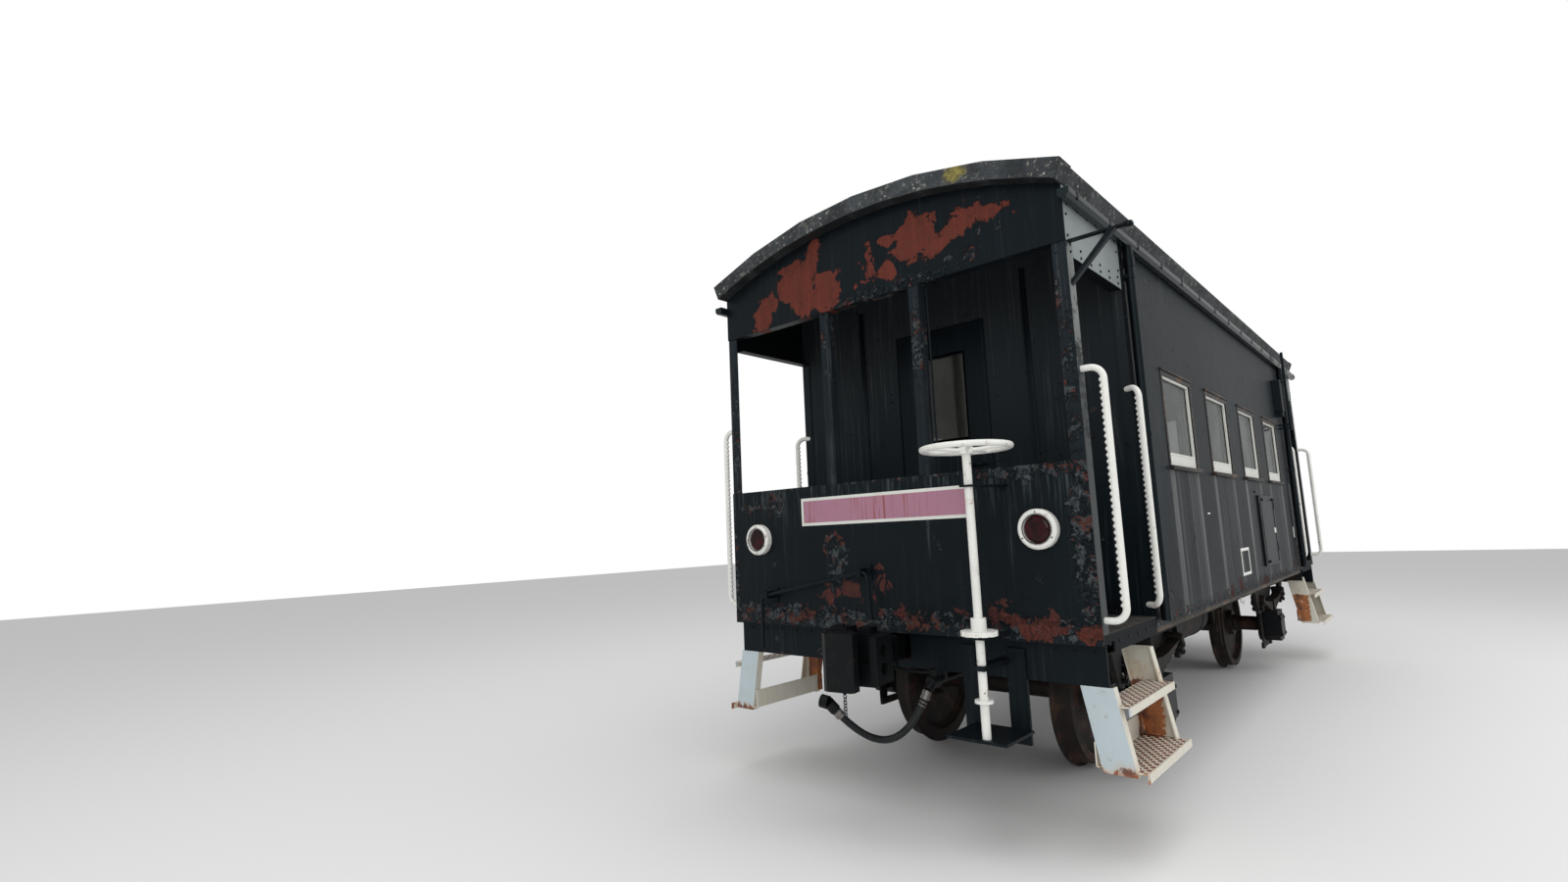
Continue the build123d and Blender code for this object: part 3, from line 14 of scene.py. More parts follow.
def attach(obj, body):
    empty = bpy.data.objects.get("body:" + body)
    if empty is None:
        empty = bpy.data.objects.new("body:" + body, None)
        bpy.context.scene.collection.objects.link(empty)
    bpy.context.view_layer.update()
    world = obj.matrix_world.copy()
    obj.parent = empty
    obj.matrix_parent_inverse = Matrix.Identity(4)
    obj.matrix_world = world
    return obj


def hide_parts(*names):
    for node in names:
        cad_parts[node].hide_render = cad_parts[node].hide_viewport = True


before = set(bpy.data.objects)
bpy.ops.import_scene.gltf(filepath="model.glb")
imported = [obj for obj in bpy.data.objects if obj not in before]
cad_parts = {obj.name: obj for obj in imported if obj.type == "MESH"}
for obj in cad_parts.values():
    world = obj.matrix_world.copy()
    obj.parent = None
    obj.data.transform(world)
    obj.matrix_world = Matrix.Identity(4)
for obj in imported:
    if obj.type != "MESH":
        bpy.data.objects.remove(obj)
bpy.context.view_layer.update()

log = logging.getLogger("caboose")

Colour = tuple[float, float, float]
Point = tuple[float, float, float]

# Driving sizes of the car, in metres in the frame of its CAD model
RAIL_TOP = 0.027
END = 3.362
HALF = 1.196
CABIN_END = 2.561
WALL = 0.06
SHEET = 0.008
FLOOR_TOP = RAIL_TOP + 0.990
HEADER_BOTTOM = RAIL_TOP + 2.876
SIDE_HEADER_BOTTOM = RAIL_TOP + 2.805
PANEL_BOTTOM = RAIL_TOP + 0.940
PANEL_TOP = RAIL_TOP + 1.798
WINDOW_PITCH = 1.088
WINDOW_WIDTH = 0.630
WINDOW_HEIGHT = 0.577
WINDOW_BOTTOM = RAIL_TOP + 1.834
WINDOW_COUNT = 4
CAR = "car"
BLUISH = (0.72, 0.90, 1.0, 1.0)
SIDEWAYS = (1, 0, 0)
FORWARD = (0, -1, 0)


class Value:
    """A number in a material. Arithmetic on it adds Math nodes."""

    def __init__(self, graph: "Graph", socket: bpy.types.NodeSocket) -> None:
        """Wraps a socket of a graph."""
        self.graph = graph
        self.socket = socket

    def _math(self, operation: str, first: "Value | float",
              second: "Value | float | None" = None) -> "Value":
        """Adds one Math node.

        Args:
            operation: Blender's name of the operation.
            first: First operand.
            second: Second operand, where the operation has one.

        Returns:
            The node's result.
        """
        inputs = {0: first} if second is None else {0: first, 1: second}
        node = self.graph.node("ShaderNodeMath", {"operation": operation}, inputs)
        return Value(self.graph, node.outputs[0])

    def __add__(self, other: "Value | float") -> "Value":
        """Sum."""
        return self._math("ADD", self, other)

    __radd__ = __add__

    def __sub__(self, other: "Value | float") -> "Value":
        """Difference."""
        return self._math("SUBTRACT", self, other)

    def __rsub__(self, other: float) -> "Value":
        """Difference from a number."""
        return self._math("SUBTRACT", other, self)

    def __mul__(self, other: "Value | float") -> "Value":
        """Product."""
        return self._math("MULTIPLY", self, other)

    def __truediv__(self, other: "Value | float") -> "Value":
        """Quotient."""
        return self._math("DIVIDE", self, other)

    def __abs__(self) -> "Value":
        """Size without its sign."""
        return self._math("ABSOLUTE", self)

    def most(self, other: "Value | float") -> "Value":
        """The larger of two."""
        return self._math("MAXIMUM", self, other)

    def least(self, other: "Value | float") -> "Value":
        """The smaller of two."""
        return self._math("MINIMUM", self, other)

    def root(self) -> "Value":
        """Square root."""
        return self._math("SQRT", self)

    def part(self) -> "Value":
        """Part after the decimal point."""
        return self._math("FRACT", self)

    def step(self, low: float, high: float) -> "Value":
        """Rises smoothly from 0 at low to 1 at high, or falls where high is the smaller.

        Args:
            low: Where the result is 0.
            high: Where the result is 1.

        Returns:
            A value from 0 to 1.
        """
        node = self.graph.node("ShaderNodeMapRange", {"interpolation_type": "SMOOTHSTEP", "clamp": True},
                               {"Value": self, "From Min": low, "From Max": high})
        return Value(self.graph, node.outputs["Result"])

    def between(self, low: float, high: float, soft: float) -> "Value":
        """1 between two limits, with soft edges.

        Args:
            low: Lower limit.
            high: Upper limit.
            soft: Width of each edge.

        Returns:
            A value from 0 to 1.
        """
        return self.step(low - soft, low) * self.step(high + soft, high)


class Graph:
    """A material's node tree under construction, on the piece's own Object coordinates."""

    def __init__(self, name: str, along_side: bool = False) -> None:
        """Starts an empty material.

        Args:
            name: Its name.
            along_side: Whether areas are placed along the car instead of across it.
        """
        self.material = bpy.data.materials.new(name)
        self.material.use_nodes = True
        self.tree = self.material.node_tree
        self.tree.nodes.clear()
        self.place = self.node("ShaderNodeTexCoord").outputs["Object"]
        split = self.node("ShaderNodeSeparateXYZ", {}, {"Vector": self.place})
        self.x, self.y, self.z = (Value(self, socket) for socket in split.outputs)
        self.across = self.y if along_side else self.x

    def node(self, kind: str, settings: dict | None = None, inputs: dict | None = None) -> bpy.types.Node:
        """Adds a node.

        Args:
            kind: Blender's type name.
            settings: Properties, which are set first.
            inputs: Socket names or numbers with a value, a socket or a Value each.

        Returns:
            The new node.
        """
        node = self.tree.nodes.new(kind)
        for key, setting in (settings or {}).items():
            setattr(node, key, setting)
        for key, given in (inputs or {}).items():
            socket = node.inputs[key]
            given = given.socket if isinstance(given, Value) else given
            if isinstance(given, bpy.types.NodeSocket):
                self.tree.links.new(given, socket)
            elif isinstance(given, tuple) and len(given) == 3 and socket.type == "RGBA":
                socket.default_value = (*given, 1.0)
            else:
                socket.default_value = given
        return node

    def stretched(self, x: float, y: float, z: float) -> bpy.types.NodeSocket:
        """The place with each axis scaled."""
        node = self.node("ShaderNodeVectorMath", {"operation": "MULTIPLY"}, {0: self.place, 1: (x, y, z)})
        return node.outputs["Vector"]

    def noise(self, scale: float, detail: float = 4.0, rough: float = 0.55, distortion: float = 0.0,
              vector: bpy.types.NodeSocket | None = None, offset: float = 0.0) -> Value:
        """Noise from 0 to 1.

        Args:
            scale: Features per metre.
            detail: Octaves.
            rough: Share of the fine octaves.
            distortion: How far the pattern is warped.
            vector: Where it is read, if not at the place itself.
            offset: Shift that makes an unlike pattern of the same kind.

        Returns:
            The noise.
        """
        where = vector or self.place
        if offset:
            where = self.node("ShaderNodeVectorMath", {"operation": "ADD"},
                              {0: where, 1: (offset, offset * 0.7, offset * 1.3)}).outputs["Vector"]
        node = self.node("ShaderNodeTexNoise", {"noise_dimensions": "3D"},
                         {"Vector": where, "Scale": scale, "Detail": detail, "Roughness": rough,
                          "Distortion": distortion})
        return Value(self, node.outputs[0])

    def cells(self, scale: float) -> Value:
        """Distance to the nearest of scattered points, in cells."""
        node = self.node("ShaderNodeTexVoronoi", {"feature": "F1"}, {"Vector": self.place, "Scale": scale})
        return Value(self, node.outputs["Distance"])

    def streaks(self, width: float, length: float, offset: float = 0.0) -> Value:
        """Noise drawn out downwards, for runs of water and rust.

        Args:
            width: Typical width in metres.
            length: Typical length in metres.
            offset: Shift that makes an unlike pattern.

        Returns:
            The noise.
        """
        across = 1.0 / width
        return self.noise(1.0, 5.0, 0.6, 0.3, self.stretched(across, across, 1.0 / length), offset)

    def mix(self, factor: Value | float, first: object, second: object) -> bpy.types.NodeSocket:
        """Blends two colours.

        Args:
            factor: Share of the second colour.
            first: Colour or socket.
            second: Colour or socket.

        Returns:
            The mixed colour's socket.
        """
        node = self.node("ShaderNodeMix", {"data_type": "RGBA", "clamp_factor": True},
                         {0: factor, 6: first, 7: second})
        return node.outputs[2]

    def surface(self, colour: object, roughness: Value | float, height: Value | None = None,
                depth: float = 0.001, fixed: dict | None = None) -> bpy.types.Material:
        """Ends the material with one Principled shader.

        Args:
            colour: Base colour or its socket.
            roughness: Roughness.
            height: Relief from 0 to 1, if any.
            depth: How deep the relief is, in metres.
            fixed: Other sockets with values that are the same all over.

        Returns:
            The finished material.
        """
        inputs = {"Base Color": colour, "Roughness": roughness, **(fixed or {})}
        if height is not None:
            inputs["Normal"] = self.node("ShaderNodeBump", {}, {"Strength": 1.0, "Distance": depth,
                                                                "Height": height}).outputs["Normal"]
        shader = self.node("ShaderNodeBsdfPrincipled", {}, inputs)
        self.node("ShaderNodeOutputMaterial", {}, {"Surface": shader.outputs[0]})
        return self.material


@dataclass(frozen=True)
class Patch:
    """A rounded area on an end or a side of the car, by its middle and its size."""

    across: float
    z: float
    width: float
    height: float
    slant: float = 0.0

    def depth(self, g: Graph) -> Value:
        """How deep inside the area a place is.

        Args:
            g: The material's graph.

        Returns:
            About the distance from the edge in metres, negative outside.
        """
        up = (g.z - self.z) / (self.height / 2)
        across = (g.across - self.across) / (self.width / 2)
        if self.slant:
            across = across - up * self.slant
        return (1.0 - (across * across + up * up).root()) * (min(self.width, self.height) / 2)


def deepest(g: Graph, patches: tuple[Patch, ...]) -> Value:
    """Joins areas into one field.

    Args:
        g: The material's graph.
        patches: The areas.

    Returns:
        The largest of their depths in metres.
    """
    field = patches[0].depth(g)
    for patch in patches[1:]:
        field = field.most(patch.depth(g))
    return field


@dataclass
class Coat:
    """What a paint makes of a surface."""

    colour: bpy.types.NodeSocket
    roughness: Value
    relief: Value


@dataclass(frozen=True)
class BlackPaint:
    """Old black gloss paint with chalky runs, rust, flakes and spots of bare primer, and where asked a
    painted pale sheen.
    """

    name: str
    colour: Colour = (0.0035, 0.0052, 0.0068)
    chalk_and_sheen: Colour = (0.062, 0.075, 0.082)
    rust: Colour = (0.060, 0.019, 0.011)
    primer: Colour = (0.135, 0.031, 0.019)
    brushed: Colour = (0.104, 0.026, 0.017)
    # Pale grey of the painted sheen on outer flanks.
    sheen_grey: Colour = (0.20, 0.215, 0.205)
    speck: Colour = (0.13, 0.14, 0.14)
    worn_thin: Colour = (0.040, 0.045, 0.048)
    undercoats: tuple[Colour, Colour] = ((0.012, 0.016, 0.019), (0.068, 0.078, 0.082))
    flake_lip: Colour = (0.0025, 0.003, 0.0035)
    flake_dust: Colour = (0.26, 0.28, 0.28)
    patch_lip: Colour = (0.003, 0.0035, 0.004)
    runs: float = 0.5
    rusting: float = 0.5
    gloss: float = 0.34
    bend: float = 1.24
    runs_from: float = 0.0
    patches: tuple[Patch, ...] = ()
    flaking: tuple[Patch, ...] = ()
    windows: bool = False
    flank_sheen: float = 0.0
    back: Colour | None = None
    loss: float = 0.0
    tear: float = 0.30

    def coat(self, g: Graph) -> Coat:
        """Mixes the paint.

        Args:
            g: The material's graph.

        Returns:
            Its colour, roughness and relief.
        """
        # Pale runs of water and, on walls with windows, a painted sheen that pales them towards the top.
        chalk_and_sheen = self.runs_and_sheen(g) * self.runs
        colour = self.aged(g, chalk_and_sheen)
        fine = g.noise(42.0, 5.0, 0.65)
        blotch = g.noise(5.5, 8.0, 0.68, 0.4, offset=1.3)
        reach = 0.70 - 0.06 * self.rusting
        rust = blotch.step(reach, reach + 0.05)
        flake = blotch.step(reach - 0.03, reach)
        colour = g.mix(flake * 0.5, colour, self.worn_thin)
        colour = g.mix(rust * 0.85, colour, g.mix(fine.step(0.4, 0.6), self.rust, self.primer))
        coat = Coat(colour, self.gloss + chalk_and_sheen * 0.35 + rust * 0.4 + (fine - 0.5) * 0.10,
                    (1.0 - flake) * 0.7 + fine * 0.2)
        if self.flaking:
            self.add_flaking(g, coat)
        if self.patches:
            self.add_patches(g, coat)
        return coat

    def aged(self, g: Graph, chalk_and_sheen: Value) -> bpy.types.NodeSocket:
        """Colour of the paint, uneven, chalked and specked, with a painted pale grey sheen on the outer
        flank where asked.

        Args:
            g: The material's graph.
            chalk_and_sheen: Strength of the pale runs of water and of the painted sheen.

        Returns:
            The colour's socket.
        """
        uneven = g.noise(1.1, 3.0).step(0.35, 0.75) * 0.5
        colour = g.mix(uneven, self.colour, tuple(1.7 * part for part in self.colour))
        if self.back:
            colour = g.mix(abs(g.x).step(HALF - 0.0005, HALF - 0.0015), colour, self.back)
        colour = g.mix(chalk_and_sheen, colour, self.chalk_and_sheen)
        # Painted sheen: pale grey patches on the outer flank, stronger towards the top, stand in for the
        # sky's reflection.
        if self.flank_sheen:
            patchy = g.noise(9.0, 6.0, 0.7, offset=8.4).step(0.36, 0.48)
            outer = abs(g.x).step(HALF - 0.003, HALF - 0.0015) * patchy * (0.18 + g.z.step(2.10, 2.60) * 0.82)
            colour = g.mix(outer * self.flank_sheen, colour, self.sheen_grey)
        dusty = g.noise(6.0, 3.0, offset=7.0).step(0.5, 0.7)
        specks = g.noise(130.0, 2.0, offset=2.0).step(0.73, 0.78) * dusty
        return g.mix(specks * 0.4 * self.runs, colour, self.speck)

    def add_flaking(self, g: Graph, coat: Coat) -> None:
        """Breaks the paint up into flakes in the flaking areas.

        Args:
            g: The material's graph.
            coat: The paint, which is changed.
        """
        zone = deepest(g, self.flaking).step(-0.03, 0.025)
        grain = g.noise(36.0, 8.0, 0.78, 0.8, offset=9.0)
        torn = g.noise(14.0, 9.0, 0.70, 0.7, offset=5.5) * 0.75 + grain * 0.25 + (zone - 1.0) * 0.14
        gone = torn.step(0.525 - self.loss, 0.535 - self.loss)
        lip = torn.step(0.490 - self.loss, 0.515 - self.loss) * (1.0 - gone)
        pale = (g.noise(60.0, 5.0, 0.75, 0.4, offset=6.0) + (zone - 1.0) * 0.1).step(0.68, 0.72)
        bare = g.noise(11.0, 8.0, 0.70, 0.6, offset=3.7).step(0.53, 0.56)
        under = g.mix(grain.step(0.40, 0.62), *self.undercoats)
        under = g.mix(bare * 0.9, under, g.mix(grain.step(0.44, 0.58), self.rust, self.primer))
        coat.colour = g.mix(gone * 0.92, coat.colour, under)
        coat.colour = g.mix(lip * 0.85, coat.colour, self.flake_lip)
        coat.colour = g.mix(pale * zone * 0.65, coat.colour, self.flake_dust)
        coat.relief = coat.relief + lip * 0.9 - gone * 0.9 + grain * zone * 0.5
        coat.roughness = coat.roughness + gone * 0.25

    def add_patches(self, g: Graph, coat: Coat) -> None:
        """Lays the primer bare in the torn areas.

        Args:
            g: The material's graph.
            coat: The paint, which is changed.
        """
        frayed = (g.noise(9.0, 9.0, 0.66, 0.6, offset=4.2) - 0.5) * self.tear
        brushed = (g.streaks(0.016, 0.09, 12.0) - 0.5) * 0.045
        grown = (0.30 - self.tear) * 0.12
        deep = deepest(g, self.patches).least(0.045) + frayed + brushed + grown + 0.003
        bare = deep.step(0.0, 0.003)
        lip = deep.step(-0.007, 0.0) * (1.0 - bare)
        primer = g.mix(g.streaks(0.030, 0.35, 8.0).step(0.30, 0.75), self.primer, self.brushed)
        patchy = g.noise(17.0, 8.0, 0.75, 0.4, offset=13.0).step(0.30, 0.55) * 0.30 + 0.68
        coat.colour = g.mix(lip * 0.7, coat.colour, self.patch_lip)
        coat.colour = g.mix(bare * patchy, coat.colour, primer)
        coat.relief = coat.relief - bare * 0.8 + lip * 0.5
        coat.roughness = coat.roughness + bare * 0.3

    def runs_and_sheen(self, g: Graph) -> Value:
        """Pale runs of water and, on walls with windows, a painted sheen that grows paler towards the top.

        Args:
            g: The material's graph.

        Returns:
            Their strength from 0 to 1.
        """
        runs = g.streaks(0.022, 0.9).step(0.50, 0.74) * g.noise(1.7, 2.0, offset=3.1).step(0.34, 0.62)
        marks = runs * 0.45
        if self.runs_from:
            high = self.runs_from
            short = g.streaks(0.016, 0.30, 15.0).step(0.48, 0.72) * g.z.step(high - 0.30, high - 0.02)
            long = g.streaks(0.026, 1.6, 21.0).step(0.60, 0.74) * g.z.step(high - 0.85, high - 0.25)
            marks = marks * 0.25 + short * 0.9 + long * 0.7
        if self.windows:
            beside = abs((g.y / WINDOW_PITCH).part() - 0.5) * WINDOW_PITCH
            near = beside.between(0.08, 0.32, 0.05) * abs(g.y).step(2.15, 2.05)
            below = g.z.step(WINDOW_BOTTOM + 0.01, WINDOW_BOTTOM - 0.02) * g.z.step(PANEL_BOTTOM - 0.9, 1.6)
            corners = beside.between(WINDOW_WIDTH / 2 - 0.055, WINDOW_WIDTH / 2 + 0.015, 0.03)
            drips = (g.streaks(0.034, 9.0, 27.0).step(0.47, 0.62) * near * 0.46
                     + g.streaks(0.019, 9.0, 31.0).step(0.34, 0.60) * corners * 0.8)
            # Painted sheen: the wall grows paler towards the top, standing in for the sky's reflection.
            painted_sheen = g.z.step(1.3, 3.0) * 0.10
            marks = marks * 0.5 + drips * below + painted_sheen
        return marks

    def build(self) -> bpy.types.Material:
        """Returns the material."""
        g = Graph(self.name)
        coat = self.coat(g)
        return g.surface(coat.colour, coat.roughness, coat.relief, 0.0012,
                         {"IOR": self.bend, "Specular Tint": BLUISH})


@dataclass(frozen=True)
class LightPaint:
    """White or cream paint, dirty, chipped to dark steel and rusting at the chips."""

    name: str
    colour: Colour
    chips: float = 0.5
    rusting: float = 0.5
    gloss: float = 0.42
    drips: float = 0.0
    stain: Colour = (0.36, 0.13, 0.045)
    steel: Colour = (0.035, 0.020, 0.016)
    rust: Colour = (0.12, 0.04, 0.02)
    drip: Colour = (0.24, 0.055, 0.040)

    def coat(self, g: Graph) -> Coat:
        """Mixes the paint.

        Args:
            g: The material's graph.

        Returns:
            Its colour, roughness and relief.
        """
        dirt = g.noise(3.2, 6.0, 0.6).step(0.40, 0.85) * 0.28 + g.streaks(0.012, 0.2).step(0.58, 0.8) * 0.25
        colour = g.mix(dirt, self.colour, tuple(0.45 * part for part in self.colour))
        fine = g.noise(60.0, 5.0, 0.65)
        chip_noise = g.noise(16.0, 8.0, 0.72, 0.5, offset=2.7)
        edge = 0.71 - 0.10 * self.chips
        area = g.noise(2.4, 3.0, offset=6.0)
        stain = chip_noise.step(edge - 0.09, edge) * area.step(0.40, 0.62)
        chip = chip_noise.step(edge, edge + 0.02) * area.step(0.36, 0.5)
        colour = g.mix(stain * 0.75 * self.rusting, colour, self.stain)
        colour = g.mix(chip, colour, g.mix(fine.step(0.42, 0.6), self.steel, self.rust))
        if self.drips:
            runs = g.streaks(0.013, 0.45, 33.0).step(0.54, 0.64) * area.step(0.35, 0.55)
            colour = g.mix(runs * self.drips, colour, self.drip)
        relief = (1.0 - chip) * 0.8 + fine * 0.2
        return Coat(colour, self.gloss + chip * 0.4 + dirt * 0.2, relief)

    def build(self) -> bpy.types.Material:
        """Returns the material."""
        g = Graph(self.name)
        coat = self.coat(g)
        return g.surface(coat.colour, coat.roughness, coat.relief, 0.0008)


@dataclass(frozen=True)
class StepPaint:
    """White paint on the entrance steps, rusting hard, as a darker bluish white on the end faces and a
    brighter cream further in (painted shade and painted light), with the treads' lozenges painted dark as
    shaded holes.
    """

    name: str
    white: LightPaint
    # Painted light: the faces further in take this brighter cream, while the end faces keep the darker
    # bluish step white; both are one white paint.
    cream: Colour = (0.69, 0.67, 0.59)
    rust: Colour = (0.42, 0.125, 0.026)
    dark_rust: Colour = (0.115, 0.034, 0.018)
    # Painted shade inside the lozenge holes.
    hole_shade: Colour = (0.185, 0.040, 0.034)
    cream_stain: Colour = (0.66, 0.55, 0.38)
    rust_stain: Colour = (0.58, 0.38, 0.20)

    def build(self) -> bpy.types.Material:
        """Returns the material."""
        g = Graph(self.name)
        coat = self.white.coat(g)
        out, far = abs(g.x), abs(g.y)
        uneven = g.noise(13.0, 8.0, 0.72, 0.4, offset=5.0)
        flow = g.streaks(0.03, 0.35, 2.0)
        # Painted light and shade: cream with run stains further in, the darker bluish white on the end
        # faces.
        lit_and_stained = g.mix(flow.step(0.4, 0.7) * 0.5, self.cream, self.cream_stain)
        colour = g.mix(far.step(3.3112, 3.3102), coat.colour, lit_and_stained)
        near_end = far.step(2.72, 2.66)
        foot = g.z.step(0.490, 0.390) * far.step(3.300, 3.306) * 0.30
        strip = near_end * out.step(1.245, 1.185) * g.z.between(0.43, 0.67, 0.03) * 0.39
        splash = near_end * g.z.between(0.70, 0.78, 0.06) * 0.17
        lips = out.step(1.255, 1.262) * 0.035
        amount = uneven * 0.65 + flow * 0.35 + foot + strip + splash + lips
        rusty = amount.step(0.72, 0.79)
        fresh = g.mix(uneven.step(0.42, 0.60), self.rust, self.dark_rust)
        colour = g.mix(amount.step(0.60, 0.76) * 0.40, colour, self.rust_stain)
        colour = g.mix(rusty * 0.94, colour, fresh)
        # Painted shade: the lozenge holes are painted dark red-brown on the solid tread, mixed with dark
        # rust.
        hole = self.holes(g, out, far)
        colour = g.mix(hole, colour, g.mix(uneven.step(0.35, 0.65), self.hole_shade, self.dark_rust))
        relief = coat.relief - rusty * 0.4 - hole * 0.6
        return g.surface(colour, coat.roughness + rusty * 0.35, relief, 0.0012)

    def holes(self, g: Graph, out: Value, far: Value) -> Value:
        """The lozenges on the tops of the treads.

        Args:
            g: The material's graph.
            out: Distance from the car's middle plane.
            far: Distance from the car's middle along it.

        Returns:
            1 inside the lozenges and 0 outside.
        """
        across, along = g.x / Treads.wide, g.y / Treads.long
        lozenge = abs((across + along).part() - 0.5).most(abs((across - along).part() - 0.5))
        deck = None
        for top, lip, depth in Treads.decks:
            level = g.z.between(top - 0.002, top + 0.0004, 0.0002)
            inside = out.between(lip - depth + 0.004, lip - 0.008, 0.001)
            here = level * inside * far.between(2.635, 3.300, 0.002)
            deck = here if deck is None else deck.most(here)
        return lozenge.step(0.43, 0.39) * deck


@dataclass(frozen=True)
class RustySteel:
    """Dirty steel or iron under the floor, from dark paint to open rust."""

    name: str
    dark: Colour = (0.020, 0.016, 0.014)
    rust: Colour = (0.085, 0.036, 0.020)
    share: float = 0.5
    roughness: float = 0.75
    metallic: float = 0.0
    dusty: float = 0.25
    bend: float = 1.3
    dust: Colour = (0.16, 0.13, 0.10)

    def build(self) -> bpy.types.Material:
        """Returns the material."""
        g = Graph(self.name)
        patches = g.noise(6.0, 8.0, 0.65)
        fine = g.noise(70.0, 5.0, 0.7)
        share = patches.step(0.62 - 0.3 * self.share, 0.78 - 0.3 * self.share)
        rust = g.mix(fine.step(0.35, 0.65), self.rust, tuple(1.7 * part for part in self.rust))
        dust = g.noise(2.0, 3.0, offset=4.0).step(0.45, 0.8)
        colour = g.mix(dust * self.dusty, g.mix(share, self.dark, rust), self.dust)
        return g.surface(colour, self.roughness - fine * 0.15, fine * 0.6 + patches * 0.4, 0.0015,
                         {"Metallic": self.metallic, "IOR": self.bend})


LICHEN_SPOT = Patch(0.675, 3.415, 0.15, 0.11)


@dataclass(frozen=True)
class RoofFelt:
    """Old painted canvas on the roof, grey, with dirt, moss and lichen; beneath, a pale cabin lining, and
    near-black painted shade under the overhangs over the platforms and under the folded edges.
    """

    name: str
    has_ceiling: bool = True
    canvas: tuple[Colour, Colour] = ((0.013, 0.016, 0.019), (0.046, 0.054, 0.059))
    grit: Colour = (0.21, 0.20, 0.17)
    soot: Colour = (0.016, 0.015, 0.014)
    crust: Colour = (0.20, 0.215, 0.19)
    lichen: Colour = (0.34, 0.35, 0.32)
    moss: Colour = (0.055, 0.058, 0.022)
    yellow: tuple[Colour, Colour] = ((0.10, 0.085, 0.020), (0.27, 0.22, 0.045))
    # Near-black painted shade under the overhangs, then the pale cabin lining.
    lining_and_shade: tuple[Colour, Colour] = ((0.005, 0.006, 0.007), (0.30, 0.29, 0.25))

    def build(self) -> bpy.types.Material:
        """Returns the material."""
        g = Graph(self.name)
        spots = g.noise(34.0, 5.0, 0.7, offset=2.0)
        under = self.below(g)
        # Painted shade: over the platforms the underside is near black; inside the cabin it is pale.
        lining_and_shade = g.mix(abs(g.y).step(2.52, 2.50), *self.lining_and_shade)
        colour = g.mix(under, self.top(g, spots), lining_and_shade)
        relief = spots * 0.5 + g.noise(9.0, 5.0, offset=3.0) * 0.5
        return g.surface(colour, 0.92 - under * 0.3, relief, 0.004)

    def top(self, g: Graph, spots: Value) -> bpy.types.NodeSocket:
        """Colour of the weathered canvas.

        Args:
            g: The material's graph.
            spots: Fine spots of dirt.

        Returns:
            The colour's socket.
        """
        base = g.mix(g.noise(5.0, 7.0, 0.65).step(0.3, 0.7), *self.canvas)
        base = g.mix(spots.step(0.56, 0.66) * 0.8, base, self.grit)
        base = g.mix(spots.step(0.44, 0.34) * 0.8, base, self.soot)
        crust = g.noise(22.0, 8.0, 0.8, 0.5, offset=15.0)
        pale = crust.step(0.56, 0.64) * g.noise(2.6, 4.0, offset=5.0).step(0.40, 0.62)
        base = g.mix(pale * 0.75, base, self.crust)
        lichen = g.cells(21.0).step(0.16, 0.10) * g.noise(4.0, 3.0, offset=7.0).step(0.5, 0.6)
        base = g.mix(lichen, base, self.lichen)
        moss = g.noise(3.3, 6.0, 0.7, offset=9.0).step(0.60, 0.72)
        base = g.mix(moss * 0.55, base, self.moss)
        frayed = (g.noise(30.0, 8.0, 0.8, 0.6) - 0.5) * 0.12
        spot = (LICHEN_SPOT.depth(g) + frayed).step(-0.004, 0.022) * g.y.step(-3.42, -3.44)
        return g.mix(spot * 0.8, base, g.mix(spots.step(0.4, 0.6), *self.yellow))

    def below(self, g: Graph) -> Value:
        """Where the underside of the roof's arch is, inside the cabin and under the overhangs.

        Args:
            g: The material's graph.

        Returns:
            1 on that underside and 0 outside.
        """
        rise = g.z - RAIL_TOP - 0.215
        arc = (g.x * g.x + rise * rise).root()
        under = arc.step(3.236, 3.233) if self.has_ceiling else arc.step(3.189, 3.180)
        return under * abs(g.x).step(HALF + 0.004, HALF)


@dataclass(frozen=True)
class WallPaint:
    """Black outside and pale green and cream inside, on walls that are one solid."""

    name: str
    outside: BlackPaint
    cream: Colour = (0.30, 0.29, 0.25)
    green: Colour = (0.10, 0.14, 0.115)

    def build(self) -> bpy.types.Material:
        """Returns the material, with the inner faces told apart by their place."""
        g = Graph(self.name, along_side=True)
        coat = self.outside.coat(g)
        inside = abs(g.x).step(HALF - WALL + 0.003, HALF - WALL + 0.001) * abs(g.y).step(2.512, 2.508)
        lining = g.mix(g.z.step(RAIL_TOP + 1.83, RAIL_TOP + 1.82), self.cream, self.green)
        lining = g.mix(g.noise(3.0, 6.0, 0.6, offset=2.2).step(0.4, 0.8) * 0.3, lining, (0.22, 0.20, 0.15))
        colour = g.mix(inside, coat.colour, lining)
        waves = g.noise(1.3, 2.0, 0.4, offset=8.0) * 4.0
        return g.surface(colour, coat.roughness, coat.relief + waves * (1.0 - inside), 0.0012,
                         {"IOR": self.outside.bend, "Specular Tint": BLUISH})


@dataclass(frozen=True)
class Glass:
    """Window glass with a film of dust."""

    name: str
    colour: Colour = (0.10, 0.12, 0.115)
    see_through: float = 0.62
    dust: float = 0.25

    def build(self) -> bpy.types.Material:
        """Returns the material."""
        g = Graph(self.name)
        dust = g.noise(4.0, 6.0, 0.65).step(0.4, 0.8) * self.dust
        colour = g.mix(dust, self.colour, (0.36, 0.37, 0.34))
        alpha = (1.0 - self.see_through) + dust * 0.4
        shader_inputs = {"Base Color": colour, "Roughness": 0.04 + dust * 0.5, "Alpha": alpha}
        shader = g.node("ShaderNodeBsdfPrincipled", {}, shader_inputs)
        g.node("ShaderNodeOutputMaterial", {}, {"Surface": shader.outputs[0]})
        return g.material


